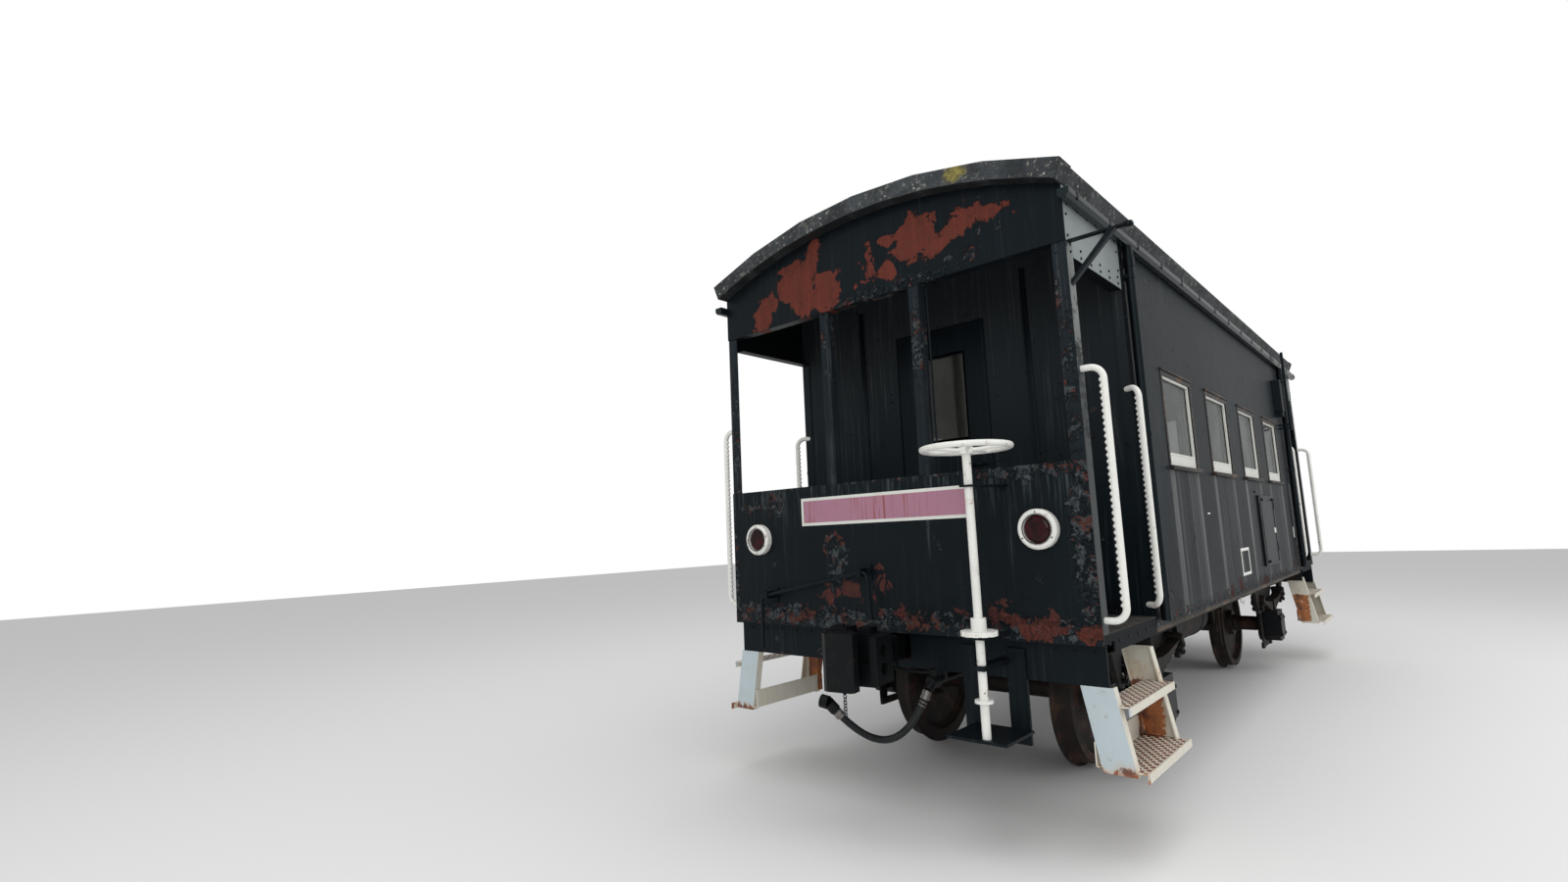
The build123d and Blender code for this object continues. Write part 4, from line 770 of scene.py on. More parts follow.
@dataclass(frozen=True)
class LensGlass:
    """Dark red lens glass, with brighter red blotches painted in as light through its ribbed inside, and
    dust.
    """

    name: str

    def build(self) -> bpy.types.Material:
        """Returns the material."""
        g = Graph(self.name)
        dust = g.noise(9.0, 5.0, 0.65).step(0.45, 0.8)
        # Painted light: brighter red blotches in the dark red glass.
        painted_glow = g.noise(14.0, 4.0, 0.6, 0.5, offset=3.0).step(0.4, 0.75)
        colour = g.mix(painted_glow, (0.010, 0.0003, 0.0012), (0.070, 0.0010, 0.0050))
        colour = g.mix(dust * 0.03, colour, (0.30, 0.20, 0.20))
        return g.surface(colour, 0.06 + dust * 0.12, None, 0.001, {"IOR": 1.32})


@dataclass(frozen=True)
class Rubber:
    """Old hose rubber, dull black with dust."""

    name: str

    def build(self) -> bpy.types.Material:
        """Returns the material."""
        g = Graph(self.name)
        dust = g.noise(20.0, 5.0, 0.6).step(0.4, 0.8)
        colour = g.mix(dust * 0.35, (0.0070, 0.0085, 0.0100), (0.055, 0.055, 0.052))
        return g.surface(colour, 0.48 + dust * 0.25, g.noise(160.0, 3.0), 0.0005, {"IOR": 1.32})


@dataclass(frozen=True)
class Varnish:
    """Varnished boards."""

    name: str

    def build(self) -> bpy.types.Material:
        """Returns the material."""
        g = Graph(self.name)
        grain = g.noise(1.0, 6.0, 0.6, 1.2, g.stretched(28.0, 2.0, 28.0))
        colour = g.mix(grain.step(0.35, 0.7), (0.16, 0.075, 0.032), (0.33, 0.19, 0.09))
        return g.surface(colour, 0.35 + grain * 0.2, grain, 0.0006)


@dataclass(frozen=True)
class PlatformFloor:
    """Checker floor of a platform or boards of the cabin, dark and dusty."""

    name: str
    colour: Colour
    sides: Colour = (0.008, 0.0095, 0.011)

    def build(self) -> bpy.types.Material:
        """Returns the material."""
        g = Graph(self.name)
        dust = g.noise(7.0, 7.0, 0.65).step(0.35, 0.75)
        colour = g.mix(dust * 0.6, self.colour, (0.15, 0.135, 0.115))
        colour = g.mix(g.z.step(FLOOR_TOP - 0.004, FLOOR_TOP - 0.002), self.sides, colour)
        rust = g.noise(9.0, 8.0, 0.75, offset=4.0).step(0.60, 0.66)
        colour = g.mix(rust * 0.7, colour, (0.085, 0.030, 0.016))
        return g.surface(colour, 0.7, g.noise(40.0, 5.0), 0.0015, {"IOR": 1.2})


class Head(Enum):
    """Rivet, bolt and screw heads, by the radius at the foot and the height."""

    HEADER = (0.0085, 0.007)
    CORNER = (0.007, 0.005)
    LIP = (0.010, 0.007)
    FASCIA = (0.0065, 0.004)
    POST = (0.006, 0.004)
    STRIP = (0.007, 0.004)
    BEAM = (0.009, 0.007)
    GUARD = (0.010, 0.008)
    SCREW = (0.005, 0.003)
    WINDOW = (0.0055, 0.004)


def spaced(start: Point, end: Point, pitch: float) -> list[Point]:
    """Evenly spaced places between two ends, both ends included.

    Args:
        start: First place.
        end: Last place.
        pitch: Distance to aim for.

    Returns:
        The places.
    """
    first, last = Vector(start), Vector(end)
    count = max(1, round((last - first).length / pitch))
    return [tuple(first.lerp(last, i / count)) for i in range(count + 1)]


class Shape:
    """A mesh under construction, in metres in the car's own frame."""

    sharp_angle = 35.0

    def __init__(self) -> None:
        """Starts empty."""
        self.mesh = bmesh.new()

    def block(self, low: Point, high: Point, bevel: float = 0.0, segments: int = 2) -> "Shape":
        """Adds a block between two corners.

        Args:
            low: Lowest corner.
            high: Highest corner.
            bevel: Width of its rounded edges.
            segments: Segments of each edge.

        Returns:
            The shape, for another call.
        """
        middle = (Vector(low) + Vector(high)) / 2
        size = Vector(high) - Vector(low)
        made = bmesh.ops.create_cube(self.mesh, size=1.0,
                                     matrix=Matrix.Translation(middle) @ Matrix.Diagonal((*size, 1.0)))
        if bevel:
            edges = {edge for vert in made["verts"] for edge in vert.link_edges}
            bmesh.ops.bevel(self.mesh, geom=list(edges), offset=bevel, segments=segments, profile=0.5,
                            affect="EDGES", material=-1)
        return self

    def rod(self, start: Point, end: Point, radius: float, end_radius: float | None = None,
            sides: int = 20) -> "Shape":
        """Adds a round bar or a cone between two points.

        Args:
            start: Centre of its first face.
            end: Centre of its last face.
            radius: Radius at the start.
            end_radius: Radius at the end, if another.
            sides: Sides of its outline.

        Returns:
            The shape, for another call.
        """
        along = Vector(end) - Vector(start)
        turn = Vector((0, 0, 1)).rotation_difference(along.normalized()).to_matrix().to_4x4()
        middle = Matrix.Translation((Vector(start) + Vector(end)) / 2)
        bmesh.ops.create_cone(self.mesh, cap_ends=True, cap_tris=False, segments=sides, radius1=radius,
                              radius2=radius if end_radius is None else end_radius, depth=along.length,
                              matrix=middle @ turn)
        return self

    def studs(self, places: list[Point], out: Point, head: Head) -> "Shape":
        """Adds round heads.

        Args:
            places: Middle of each head's foot.
            out: Direction that they stand out in, of length 1.
            head: Their size.

        Returns:
            The shape, for another call.
        """
        radius, height = head.value
        way = Vector(out)
        for place in places:
            foot = Vector(place) - way * 0.001
            shoulder = foot + way * (height * 0.6)
            self.rod(foot, shoulder, radius, radius * 0.86, 8)
            self.rod(shoulder, foot + way * height, radius * 0.86, radius * 0.4, 8)
        return self

    def row(self, start: Point, end: Point, pitch: float, out: Point, head: Head) -> "Shape":
        """Adds evenly spaced round heads.

        Args:
            start: Foot of the first one.
            end: Foot of the last one.
            pitch: Distance to aim for.
            out: Direction that they stand out in, of length 1.
            head: Their size.

        Returns:
            The shape, for another call.
        """
        return self.studs(spaced(start, end, pitch), out, head)

    def frame(self, faces: tuple[float, float], middle: float, half: float, heights: tuple[float, float],
              width: float) -> "Shape":
        """Adds four bars around an upright rectangle on the right side.

        Args:
            faces: Inner and outer face of the bars.
            middle: Middle of the rectangle along the car.
            half: Half of its length outside the bars.
            heights: Its lower and upper edge.
            width: Width of the bars.

        Returns:
            The shape, for another call.
        """
        (inner, outer), (low, high) = faces, heights
        for y0, y1, z0, z1 in ((-half, half, low, low + width), (-half, half, high - width, high),
                               (-half, -half + width, low + width, high - width),
                               (half - width, half, low + width, high - width)):
            self.block((inner, middle + y0, z0), (outer, middle + y1, z1))
        return self

    def ring(self, centre: Point, axis: Point, radius: float, tube: float, around: int = 28,
             sides: int = 8) -> "Shape":
        """Adds a round ring.

        Args:
            centre: Its middle.
            axis: Direction of its hole.
            radius: Radius of the tube's middle line.
            tube: Radius of the tube.
            around: Segments around the ring.
            sides: Sides of the tube.

        Returns:
            The shape, for another call.
        """
        way = Vector(axis).normalized()
        out = way.orthogonal().normalized()
        start = Vector(centre) + out * radius
        turn = Matrix((out, way, out.cross(way))).transposed().to_4x4()
        circle = bmesh.ops.create_circle(self.mesh, segments=sides, radius=tube,
                                         matrix=Matrix.Translation(start) @ turn)
        edges = list({edge for vert in circle["verts"] for edge in vert.link_edges})
        bmesh.ops.spin(self.mesh, geom=circle["verts"] + edges, cent=centre, axis=way, angle=2 * math.pi,
                       steps=around, use_merge=True, use_duplicate=False)
        return self

    def slab(self, outline: list[tuple[float, float]], flat: int, start: float, end: float) -> "Shape":
        """Adds a plate with a drawn outline.

        Args:
            outline: Corners in the two other axes, in their order.
            flat: Axis of the plate's thickness, 0 to 2.
            start: Where the plate starts on that axis.
            end: Where it ends.

        Returns:
            The shape, for another call.
        """
        corners = []
        for pair in outline:
            place = list(pair)
            place.insert(flat, start)
            corners.append(self.mesh.verts.new(place))
        face = self.mesh.faces.new(corners)
        grown = bmesh.ops.extrude_face_region(self.mesh, geom=[face])
        way = Vector((0, 0, 0))
        way[flat] = end - start
        moved = [item for item in grown["geom"] if isinstance(item, bmesh.types.BMVert)]
        bmesh.ops.translate(self.mesh, verts=moved, vec=way)
        return self

    def copied(self) -> tuple[list[bmesh.types.BMVert], list[bmesh.types.BMFace]]:
        """Adds a copy of everything in the same place.

        Returns:
            The copy's vertices and faces.
        """
        everything = [*self.mesh.verts, *self.mesh.edges, *self.mesh.faces]
        items = bmesh.ops.duplicate(self.mesh, geom=everything)["geom"]
        return ([item for item in items if isinstance(item, bmesh.types.BMVert)],
                [item for item in items if isinstance(item, bmesh.types.BMFace)])

    def turn(self, verts: list[bmesh.types.BMVert]) -> None:
        """Turns vertices by half a circle about the middle of the car.

        Args:
            verts: The vertices.
        """
        bmesh.ops.rotate(self.mesh, verts=verts, cent=(0, 0, 0), matrix=Matrix.Rotation(math.pi, 3, "Z"))

    def turned(self) -> "Shape":
        """Adds a copy of everything, turned by half a circle about the middle of the car."""
        self.turn(self.copied()[0])
        return self

    def mirrored(self, axis: int) -> "Shape":
        """Adds a mirror image of everything across the middle of the car.

        Args:
            axis: 0 for left and right, 1 for front and rear.

        Returns:
            The shape, for another call.
        """
        verts, faces = self.copied()
        factor = Vector((1, 1, 1))
        factor[axis] = -1
        bmesh.ops.scale(self.mesh, vec=factor, verts=verts)
        bmesh.ops.reverse_faces(self.mesh, faces=faces)
        return self

    def to_object(self, name: str) -> bpy.types.Object:
        """Ends the shape as an object that is shaded smooth, except at its sharp edges.

        Args:
            name: The object's name.

        Returns:
            The new object.
        """
        bmesh.ops.recalc_face_normals(self.mesh, faces=list(self.mesh.faces))
        data = bpy.data.meshes.new(name)
        self.mesh.to_mesh(data)
        self.mesh.free()
        for face in data.polygons:
            face.use_smooth = True
        data.set_sharp_from_angle(angle=math.radians(self.sharp_angle))
        made = bpy.data.objects.new(name, data)
        bpy.context.scene.collection.objects.link(made)
        return made


@dataclass
class PhotoCamera:
    """The camera where the photographer stood."""

    place: Point = (2.4343, -6.8365, 1.5235)
    left: float = 42.092
    up: float = 7.438
    roll: float = -2.375
    focal: float = 16.765

    def build(self) -> None:
        """Makes the camera and gives it to the scene."""
        yaw, pitch, roll = (math.radians(angle) for angle in (self.left, self.up, self.roll))
        flat = math.cos(pitch)
        forward = Vector((-math.sin(yaw) * flat, math.cos(yaw) * flat, math.sin(pitch)))
        right = Vector((math.cos(yaw), math.sin(yaw), 0))
        above = right.cross(forward)
        side = right * math.cos(roll) + above * math.sin(roll)
        top = above * math.cos(roll) - right * math.sin(roll)
        data = bpy.data.cameras.new("camera")
        data.lens = self.focal
        data.sensor_width = 36.0
        data.clip_end = 200.0
        camera = bpy.data.objects.new("camera", data)
        turn = Matrix((side, top, -forward)).transposed().to_4x4()
        camera.matrix_world = Matrix.Translation(self.place) @ turn
        bpy.context.scene.collection.objects.link(camera)
        bpy.context.scene.camera = camera


@dataclass
class Studio:
    """Pale floor, white surroundings and soft lamps."""

    floor_size: float = 60.0
    floor_colour: Colour = (0.80, 0.80, 0.80)
    world_light: float = 0.62
    # Rows: name, place, target, size and power in watts
    lamps: tuple[tuple[str, Point, Point, float, float], ...] = (
        ("sky_lamp", (1.5, -1.5, 8.5), (0, 0, 1.0), 9.0, 420.0),
        ("front_lamp", (3.5, -10.5, 4.5), (0, -2.5, 1.8), 5.0, 190.0),
        ("side_lamp", (9.0, 2.0, 4.0), (0, 0.5, 1.6), 6.0, 150.0),
    )

    def build(self) -> None:
        """Makes the floor, the world and the lamps."""
        self.make_world()
        self.make_floor()
        for lamp in self.lamps:
            self.make_lamp(*lamp)
        bpy.context.scene.view_settings.view_transform = "Standard"

    def make_world(self) -> None:
        """A white backdrop that lights the object less than it shows."""
        world = bpy.data.worlds.new("studio")
        world.use_nodes = True
        bpy.context.scene.world = world
        nodes, links = world.node_tree.nodes, world.node_tree.links
        nodes.clear()
        path = nodes.new("ShaderNodeLightPath")
        shown = nodes.new("ShaderNodeMath")
        shown.operation = "MAXIMUM"
        links.new(path.outputs["Is Camera Ray"], shown.inputs[0])
        links.new(path.outputs["Is Transmission Ray"], shown.inputs[1])
        level = nodes.new("ShaderNodeMapRange")
        level.inputs["To Min"].default_value = self.world_light
        level.inputs["To Max"].default_value = 1.0
        links.new(shown.outputs[0], level.inputs["Value"])
        background = nodes.new("ShaderNodeBackground")
        background.inputs["Color"].default_value = (1.0, 1.0, 1.0, 1.0)
        links.new(level.outputs["Result"], background.inputs["Strength"])
        output = nodes.new("ShaderNodeOutputWorld")
        links.new(background.outputs[0], output.inputs["Surface"])

    def make_floor(self) -> None:
        """A wide pale floor at the wheels' lowest points."""
        graph = Graph("studio_floor")
        material = graph.surface(self.floor_colour, 0.9)
        mesh = bmesh.new()
        bmesh.ops.create_grid(mesh, x_segments=1, y_segments=1, size=self.floor_size / 2)
        data = bpy.data.meshes.new("studio_floor")
        mesh.to_mesh(data)
        mesh.free()
        data.materials.append(material)
        floor = bpy.data.objects.new("studio_floor", data)
        bpy.context.scene.collection.objects.link(floor)

    def make_lamp(self, name: str, place: Point, target: Point, size: float, power: float) -> None:
        """A large square lamp.

        Args:
            name: Its name.
            place: Where it hangs.
            target: What it points at.
            size: Side of the square.
            power: Power in watts.
        """
        data = bpy.data.lights.new(name, "AREA")
        data.shape = "SQUARE"
        data.size = size
        data.energy = power
        lamp = bpy.data.objects.new(name, data)
        way = Vector(target) - Vector(place)
        lamp.matrix_world = Matrix.Translation(place) @ way.to_track_quat("-Z", "Y").to_matrix().to_4x4()
        bpy.context.scene.collection.objects.link(lamp)


class Trim(Enum):
    """Finishes by the work they do on the car."""

    SHELL = "shell"
    FRONT_PANEL = "front_panel"
    FRONT_FASCIA = "front_fascia"
    BODY_BLACK = "body_black"
    UNDER_BLACK = "under_black"
    ROOF = "roof"
    WHITE = "white"
    STEP_WHITE = "step_white"
    CREAM = "cream"
    GLASS = "glass"
    DOOR_GLASS = "door_glass"
    LENS = "lens"
    UNDERFRAME = "underframe"
    IRON = "iron"
    WHEEL = "wheel"
    RUBBER = "rubber"
    BENCH = "bench"
    DECK = "deck"
    CABIN_FLOOR = "cabin_floor"
    STOVE = "stove"
    PINK = "pink"
    POST = "post"
    EDGE_FELT = "edge_felt"
    BEZEL = "bezel"
    CLAMP = "clamp"
    SURROUND = "surround"
    HEADER = "header"
    STRIP = "strip"
    GUTTER = "gutter"
    SILL = "sill"


def areas(*rows: tuple[float, ...]) -> tuple[Patch, ...]:
    """Makes a table of areas.

    Args:
        rows: Middle across and up, width, height and, where there is one, slant of each area.

    Returns:
        The areas.
    """
    return tuple(Patch(*row) for row in rows)


FASCIA_PATCHES = areas(
    (-0.820, 3.020, 0.19, 0.24, 0.5), (-0.575, 3.150, 0.27, 0.33, 0.0), (-0.404, 3.260, 0.09, 0.20, 0.3),
    (-0.300, 3.030, 0.25, 0.27, 0.0), (-0.466, 3.030, 0.22, 0.22, 0.0), (0.033, 3.102, 0.07, 0.20, 0.0),
    (0.172, 3.033, 0.11, 0.13, 0.0), (-0.025, 3.009, 0.08, 0.05, 0.0), (0.365, 3.180, 0.27, 0.26, 0.1),
    (0.455, 3.110, 0.14, 0.20, 0.0), (0.588, 3.151, 0.17, 0.12, 0.3), (0.697, 3.188, 0.15, 0.10, 0.0),
    (0.825, 3.175, 0.20, 0.06, 0.0), (0.163, 3.215, 0.10, 0.06, 0.0),
)
FASCIA_FLAKING = areas(
    (0.209, 2.926, 0.74, 0.10), (-0.139, 2.922, 0.22, 0.09), (0.640, 2.985, 0.26, 0.11),
    (0.737, 3.103, 0.06, 0.14), (0.872, 3.085, 0.05, 0.11),
)
PANEL_PATCHES = areas(
    (-0.230, 1.180, 0.15, 0.11), (-0.411, 1.178, 0.07, 0.10), (0.000, 1.232, 0.10, 0.18),
    (0.127, 1.083, 0.12, 0.07), (0.475, 1.130, 0.06, 0.04), (0.736, 1.080, 0.19, 0.12),
    (0.735, 1.145, 0.07, 0.09), (0.946, 1.073, 0.08, 0.07), (0.933, 1.022, 0.26, 0.07),
    (1.135, 1.015, 0.11, 0.10), (-0.623, 1.043, 0.19, 0.06), (-1.102, 1.004, 0.16, 0.07),
)
PANEL_FLAKING = areas(
    (1.165, 1.420, 0.14, 1.05), (-0.309, 1.066, 0.42, 0.07), (0.365, 1.056, 0.36, 0.08),
    (-0.357, 1.450, 0.14, 0.19), (-0.310, 1.400, 0.16, 0.30), (0.900, 1.795, 0.66, 0.08),
    (-0.803, 1.735, 0.16, 0.20), (-0.992, 1.712, 0.32, 0.07), (-1.185, 1.300, 0.06, 0.80),
    (-0.62, 1.055, 1.15, 0.11), (0.48, 1.055, 1.30, 0.10), (0.1, 1.822, 1.90, 0.035),
)
STRIP_FLAKING = areas((-0.50, 1.020, 1.60, 0.10), (0.60, 1.025, 1.50, 0.11))
POST_FLAKING = areas(
    (1.130, 2.25, 0.16, 1.10), (0.320, 2.55, 0.12, 0.55), (-0.335, 2.80, 0.10, 0.30),
    (-1.150, 2.20, 0.10, 0.90),
)
SIDE_FLAKING = areas(
    (0.0, 0.975, 5.40, 0.10), (-2.42, 1.20, 0.16, 0.50), (2.42, 1.20, 0.16, 0.50),
    (-2.30, 1.03, 0.50, 0.22), (2.30, 1.03, 0.50, 0.22),
)
SIDE_PATCHES = areas(
    (-0.42, 1.020, 0.10, 0.08), (-0.72, 0.985, 0.08, 0.06), (0.55, 1.000, 0.12, 0.05),
    (1.60, 1.010, 0.09, 0.08),
)


# Rows: trim, name, dark and rust colour, share of rust, roughness, metallic, dust and refraction
STEELS = (
    (Trim.BEZEL, "bezel_steel", (0.016, 0.015, 0.015), (0.05, 0.028, 0.018), 0.2, 0.45),
    (Trim.UNDERFRAME, "underframe_steel", (0.010, 0.0095, 0.009), (0.042, 0.021, 0.014), 0.30),
    (Trim.SILL, "sill_steel", (0.045, 0.040, 0.034), (0.11, 0.070, 0.045), 0.35, 0.7, 0.0, 0.5),
    (Trim.IRON, "cast_iron", (0.0022, 0.0034, 0.0044), (0.014, 0.010, 0.008), 0.15, 0.50, 0.0, 0.04, 1.26),
    (Trim.WHEEL, "wheel_steel", (0.014, 0.0105, 0.0095), (0.042, 0.020, 0.014), 0.40, 0.70, 0.0, 0.10),
    (Trim.STOVE, "stove_iron", (0.012, 0.012, 0.012), (0.050, 0.028, 0.020), 0.2, 0.5),
    (Trim.SURROUND, "surround_steel", (0.020, 0.017, 0.016), (0.075, 0.040, 0.026), 0.35, 0.5),
    (Trim.CLAMP, "clamp_steel", (0.20, 0.19, 0.18), (0.10, 0.06, 0.04), 0.3, 0.4, 0.7),
)


class Finishes:
    """Every material of the car, made once."""

    def __init__(self) -> None:
        """Builds the materials."""
        made = {
            # The walls get a painted sheen that grows paler towards the top.
            Trim.SHELL: WallPaint("side_wall_paint", BlackPaint(
                "side_wall_paint", (0.0065, 0.0100, 0.0130), (0.200, 0.208, 0.204), loss=0.03, runs=0.8,
                primer=(0.070, 0.030, 0.024), brushed=(0.050, 0.026, 0.022), rusting=0.1, gloss=0.36,
                bend=1.11, patches=SIDE_PATCHES, flaking=SIDE_FLAKING, windows=True)),
            # The header's outer faces are painted pale grey, a painted reflection of light from the ground
            # on its black paint; its other faces take the dark back colour.
            Trim.HEADER: BlackPaint(
                "header_paint", (0.185, 0.210, 0.205), runs=0.4, rusting=0.1, gloss=0.45,
                back=(0.004, 0.005, 0.006)),
            Trim.FRONT_PANEL: BlackPaint(
                "end_panel_paint", primer=(0.088, 0.027, 0.021), brushed=(0.052, 0.021, 0.018), loss=0.035,
                tear=0.42, runs=0.9, rusting=0.2, gloss=0.42, runs_from=PANEL_TOP, patches=PANEL_PATCHES,
                flaking=PANEL_FLAKING),
            Trim.STRIP: BlackPaint(
                "strip_paint", (0.0065, 0.0095, 0.012), primer=(0.085, 0.027, 0.021), loss=0.04, runs=0.8,
                rusting=0.6, gloss=0.45, tear=0.42, patches=PANEL_PATCHES, flaking=STRIP_FLAKING),
            Trim.FRONT_FASCIA: BlackPaint("fascia_paint", runs=0.35, rusting=0.0, gloss=0.36,
                                          patches=FASCIA_PATCHES, flaking=FASCIA_FLAKING),
            Trim.BODY_BLACK: BlackPaint("body_paint", runs=0.6, rusting=0.3, gloss=0.36),
            # The posts' outer flanks get a painted pale grey sheen, stronger towards the top.
            Trim.POST: BlackPaint(
                "post_paint", (0.009, 0.012, 0.015), (0.13, 0.14, 0.14), primer=(0.075, 0.024, 0.018),
                runs=1.2, rusting=0.75, gloss=0.40, flaking=POST_FLAKING, flank_sheen=0.85),
            Trim.GUTTER: BlackPaint("gutter_paint", (0.0045, 0.0075, 0.0080), runs=0.3, rusting=0.1,
                                    gloss=0.24, bend=1.40),
            Trim.UNDER_BLACK: BlackPaint("beam_paint", runs=0.6, rusting=0.5, gloss=0.45),
            Trim.ROOF: RoofFelt("roof_felt"),
            Trim.EDGE_FELT: RoofFelt("edge_felt", False),
            Trim.WHITE: LightPaint("rail_paint", (0.80, 0.80, 0.76), 0.75, 0.45),
            # The step white is a darker, bluish white: painted shade on the steps' end faces.
            Trim.STEP_WHITE: StepPaint(
                "step_paint", LightPaint("step_white", (0.49, 0.57, 0.60), 0.55, 1.0)),
            Trim.CREAM: LightPaint("sash_paint", (0.68, 0.69, 0.64), 0.30, 0.3),
            Trim.PINK: LightPaint("band_paint", (0.37, 0.175, 0.245), 0.45, 0.8, drips=0.85),
            Trim.GLASS: Glass("window_glass"),
            Trim.DOOR_GLASS: Glass("door_glass", (0.030, 0.032, 0.026), 0.45, 0.14),
            Trim.LENS: LensGlass("lens_glass"),
            Trim.RUBBER: Rubber("hose_rubber"),
            Trim.BENCH: Varnish("bench_wood"),
            Trim.DECK: PlatformFloor("deck_plate", (0.030, 0.029, 0.028)),
            Trim.CABIN_FLOOR: PlatformFloor("cabin_boards", (0.075, 0.060, 0.045)),
        }
        for trim, steel, *values in STEELS:
            made[trim] = RustySteel(steel, *values)
        self.materials = {trim: finish.build() for trim, finish in made.items()}

    def __getitem__(self, trim: Trim) -> bpy.types.Material:
        """The material of a trim."""
        return self.materials[trim]


NODE_TRIMS = {
    Trim.SHELL: ("right_side_wall", "left_side_wall", "front_bulkhead", "rear_bulkhead"),
    Trim.FRONT_PANEL: ("front_end_panel", "rear_end_panel"),
    Trim.FRONT_FASCIA: ("front_fascia", "rear_fascia"),
    Trim.HEADER: ("platform_headers",),
    Trim.GUTTER: ("gutters",),
    Trim.BODY_BLACK: ("downspouts", "front_door", "rear_door", "uncoupling_levers",
                      "lamp_brackets", "side_covers", "side_fittings"),
    Trim.POST: ("end_posts",),
    Trim.UNDER_BLACK: ("end_beams", "handbrake_brackets"),
    Trim.ROOF: ("roof",),
    Trim.WHITE: ("handrails", "front_handbrake", "rear_handbrake", "tail_lamp_rims"),
    Trim.STEP_WHITE: ("front_right_step", "front_left_step", "rear_right_step", "rear_left_step"),
    Trim.CREAM: ("window_frames",),
    Trim.GLASS: ("window_panes",),
    Trim.DOOR_GLASS: ("front_door_pane", "rear_door_pane"),
    Trim.LENS: ("tail_lamp_lenses",),
    Trim.UNDERFRAME: ("underframe", "cross_bearers", "axle_guards", "leaf_springs", "spring_hangers",
                      "brake_beams", "air_tank"),
    Trim.IRON: ("front_coupler", "rear_coupler", "axle_boxes", "brake_cylinder", "brake_pipe",
                "front_hose_coupling", "rear_hose_coupling", "chimney"),
    Trim.WHEEL: ("front_wheels", "rear_wheels", "front_axle", "rear_axle"),
    Trim.BENCH: ("cabin_benches",),
    Trim.DECK: ("front_platform_floor", "rear_platform_floor"),
    Trim.CABIN_FLOOR: ("cabin_floor",),
    Trim.STOVE: ("stove",),
}


def dress_nodes(finishes: Finishes) -> None:
    """Gives every CAD node its finish.

    Args:
        finishes: The car's materials.
    """
    for trim, names in NODE_TRIMS.items():
        for name in names:
            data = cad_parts[name].data
            data.materials.clear()
            data.materials.append(finishes[trim])
    log.info("dressed the CAD nodes")


@dataclass
class Assembly:
    """A group of pieces in the car's finishes."""

    finishes: Finishes

    def build(self) -> None:
        """Makes the pieces."""
        raise NotImplementedError

    def add(self, name: str, shape: Shape, trim: Trim, slot: str = "black_paint",
            body: str = CAR) -> bpy.types.Object:
        """Ends a shape as a piece that rides on a body.

        Args:
            name: The piece's name.
            shape: Its mesh.
            trim: Its finish.
            slot: Not used.
            body: The CAD body that it rides on.

        Returns:
            The new object.
        """
        made = shape.to_object(name)
        made.data.materials.append(self.finishes[trim])
        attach(made, body)
        log.info("made %s", name)
        return made


@dataclass
class BrakeHoses(Assembly):
    """The rubber air hose at each end, from the cock to its coupling."""

    radius: float = 0.0185
    length: float = 0.709
    ferrule: float = 0.045
    bands: tuple[float, ...] = (0.064, 0.082)
    route: tuple[Point, ...] = (
        (0.292, -3.422, 0.692), (0.226, -3.490, 0.479), (0.068, -3.672, 0.445), (0.004, -3.844, 0.643),
    )

    def build(self) -> None:
        """Makes both hoses."""
        for end, sign in (("front", 1), ("rear", -1)):
            points = [(sign * x, sign * y, z) for x, y, z in self.route]
            hose = self.make_curve(f"{end}_brake_hose_rubber", points, self.radius)
            hose.data.materials.append(self.finishes[Trim.RUBBER])
            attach(hose, CAR)
            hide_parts(f"{end}_brake_hose")
            log.info("made %s", hose.name)
            clamps = self.make_clamps(end, points)

    def make_curve(self, name: str, points: list[Point], bevel: float) -> bpy.types.Object:
        """Makes a hose's smooth line.

        Args:
            name: The curve's name.
            points: The hose's route.
            bevel: Radius of its tube, or 0 for a bare line.

        Returns:
            The curve.
        """
        curve = bpy.data.curves.new(name, "CURVE")
        curve.dimensions = "3D"
        curve.bevel_depth = bevel
        curve.bevel_resolution = 5
        curve.resolution_u = 12
        curve.use_fill_caps = bevel > 0
        spline = curve.splines.new("NURBS")
        spline.points.add(len(points) - 1)
        for point, place in zip(spline.points, points):
            point.co = (*place, 1.0)
        spline.order_u = 3
        spline.use_endpoint_u = True
        made = bpy.data.objects.new(name, curve)
        bpy.context.scene.collection.objects.link(made)
        return made

    def make_clamps(self, end: str, points: list[Point]) -> bpy.types.Object:
        """Makes the ferrules at both ends of a hose and the bright bands along its smooth line.

        Args:
            end: The car's end.
            points: The hose's route.

        Returns:
            The rings, as one piece.
        """
        shape = Shape()
        for start, inward in ((points[0], points[1]), (points[-1], points[-2])):
            foot, way = Vector(start), (Vector(inward) - Vector(start)).normalized()
            shape.rod(foot, foot + way * self.ferrule, self.radius + 0.004, sides=28)
            for shift in (0.008, 0.034):
                shape.rod(foot + way * shift, foot + way * (shift + 0.012), self.radius + 0.007, sides=28)
        line = self.make_curve(f"{end}_hose_line", points, 0.0)
        track = [vert.co.copy() for vert in bpy.data.meshes.new_from_object(line).vertices]
        bpy.data.objects.remove(line)
        travelled = 0.0
        for here, after in zip(track, track[1:]):
            step = (after - here).length
            for place in self.bands:
                if travelled <= place < travelled + step:
                    middle = here.lerp(after, (place - travelled) / step)
                    shape.ring(middle, after - here, self.radius, 0.004, 28, 6)
            travelled += step
        return self.add(f"{end}_hose_clamps", shape, Trim.CLAMP, "cast_iron")


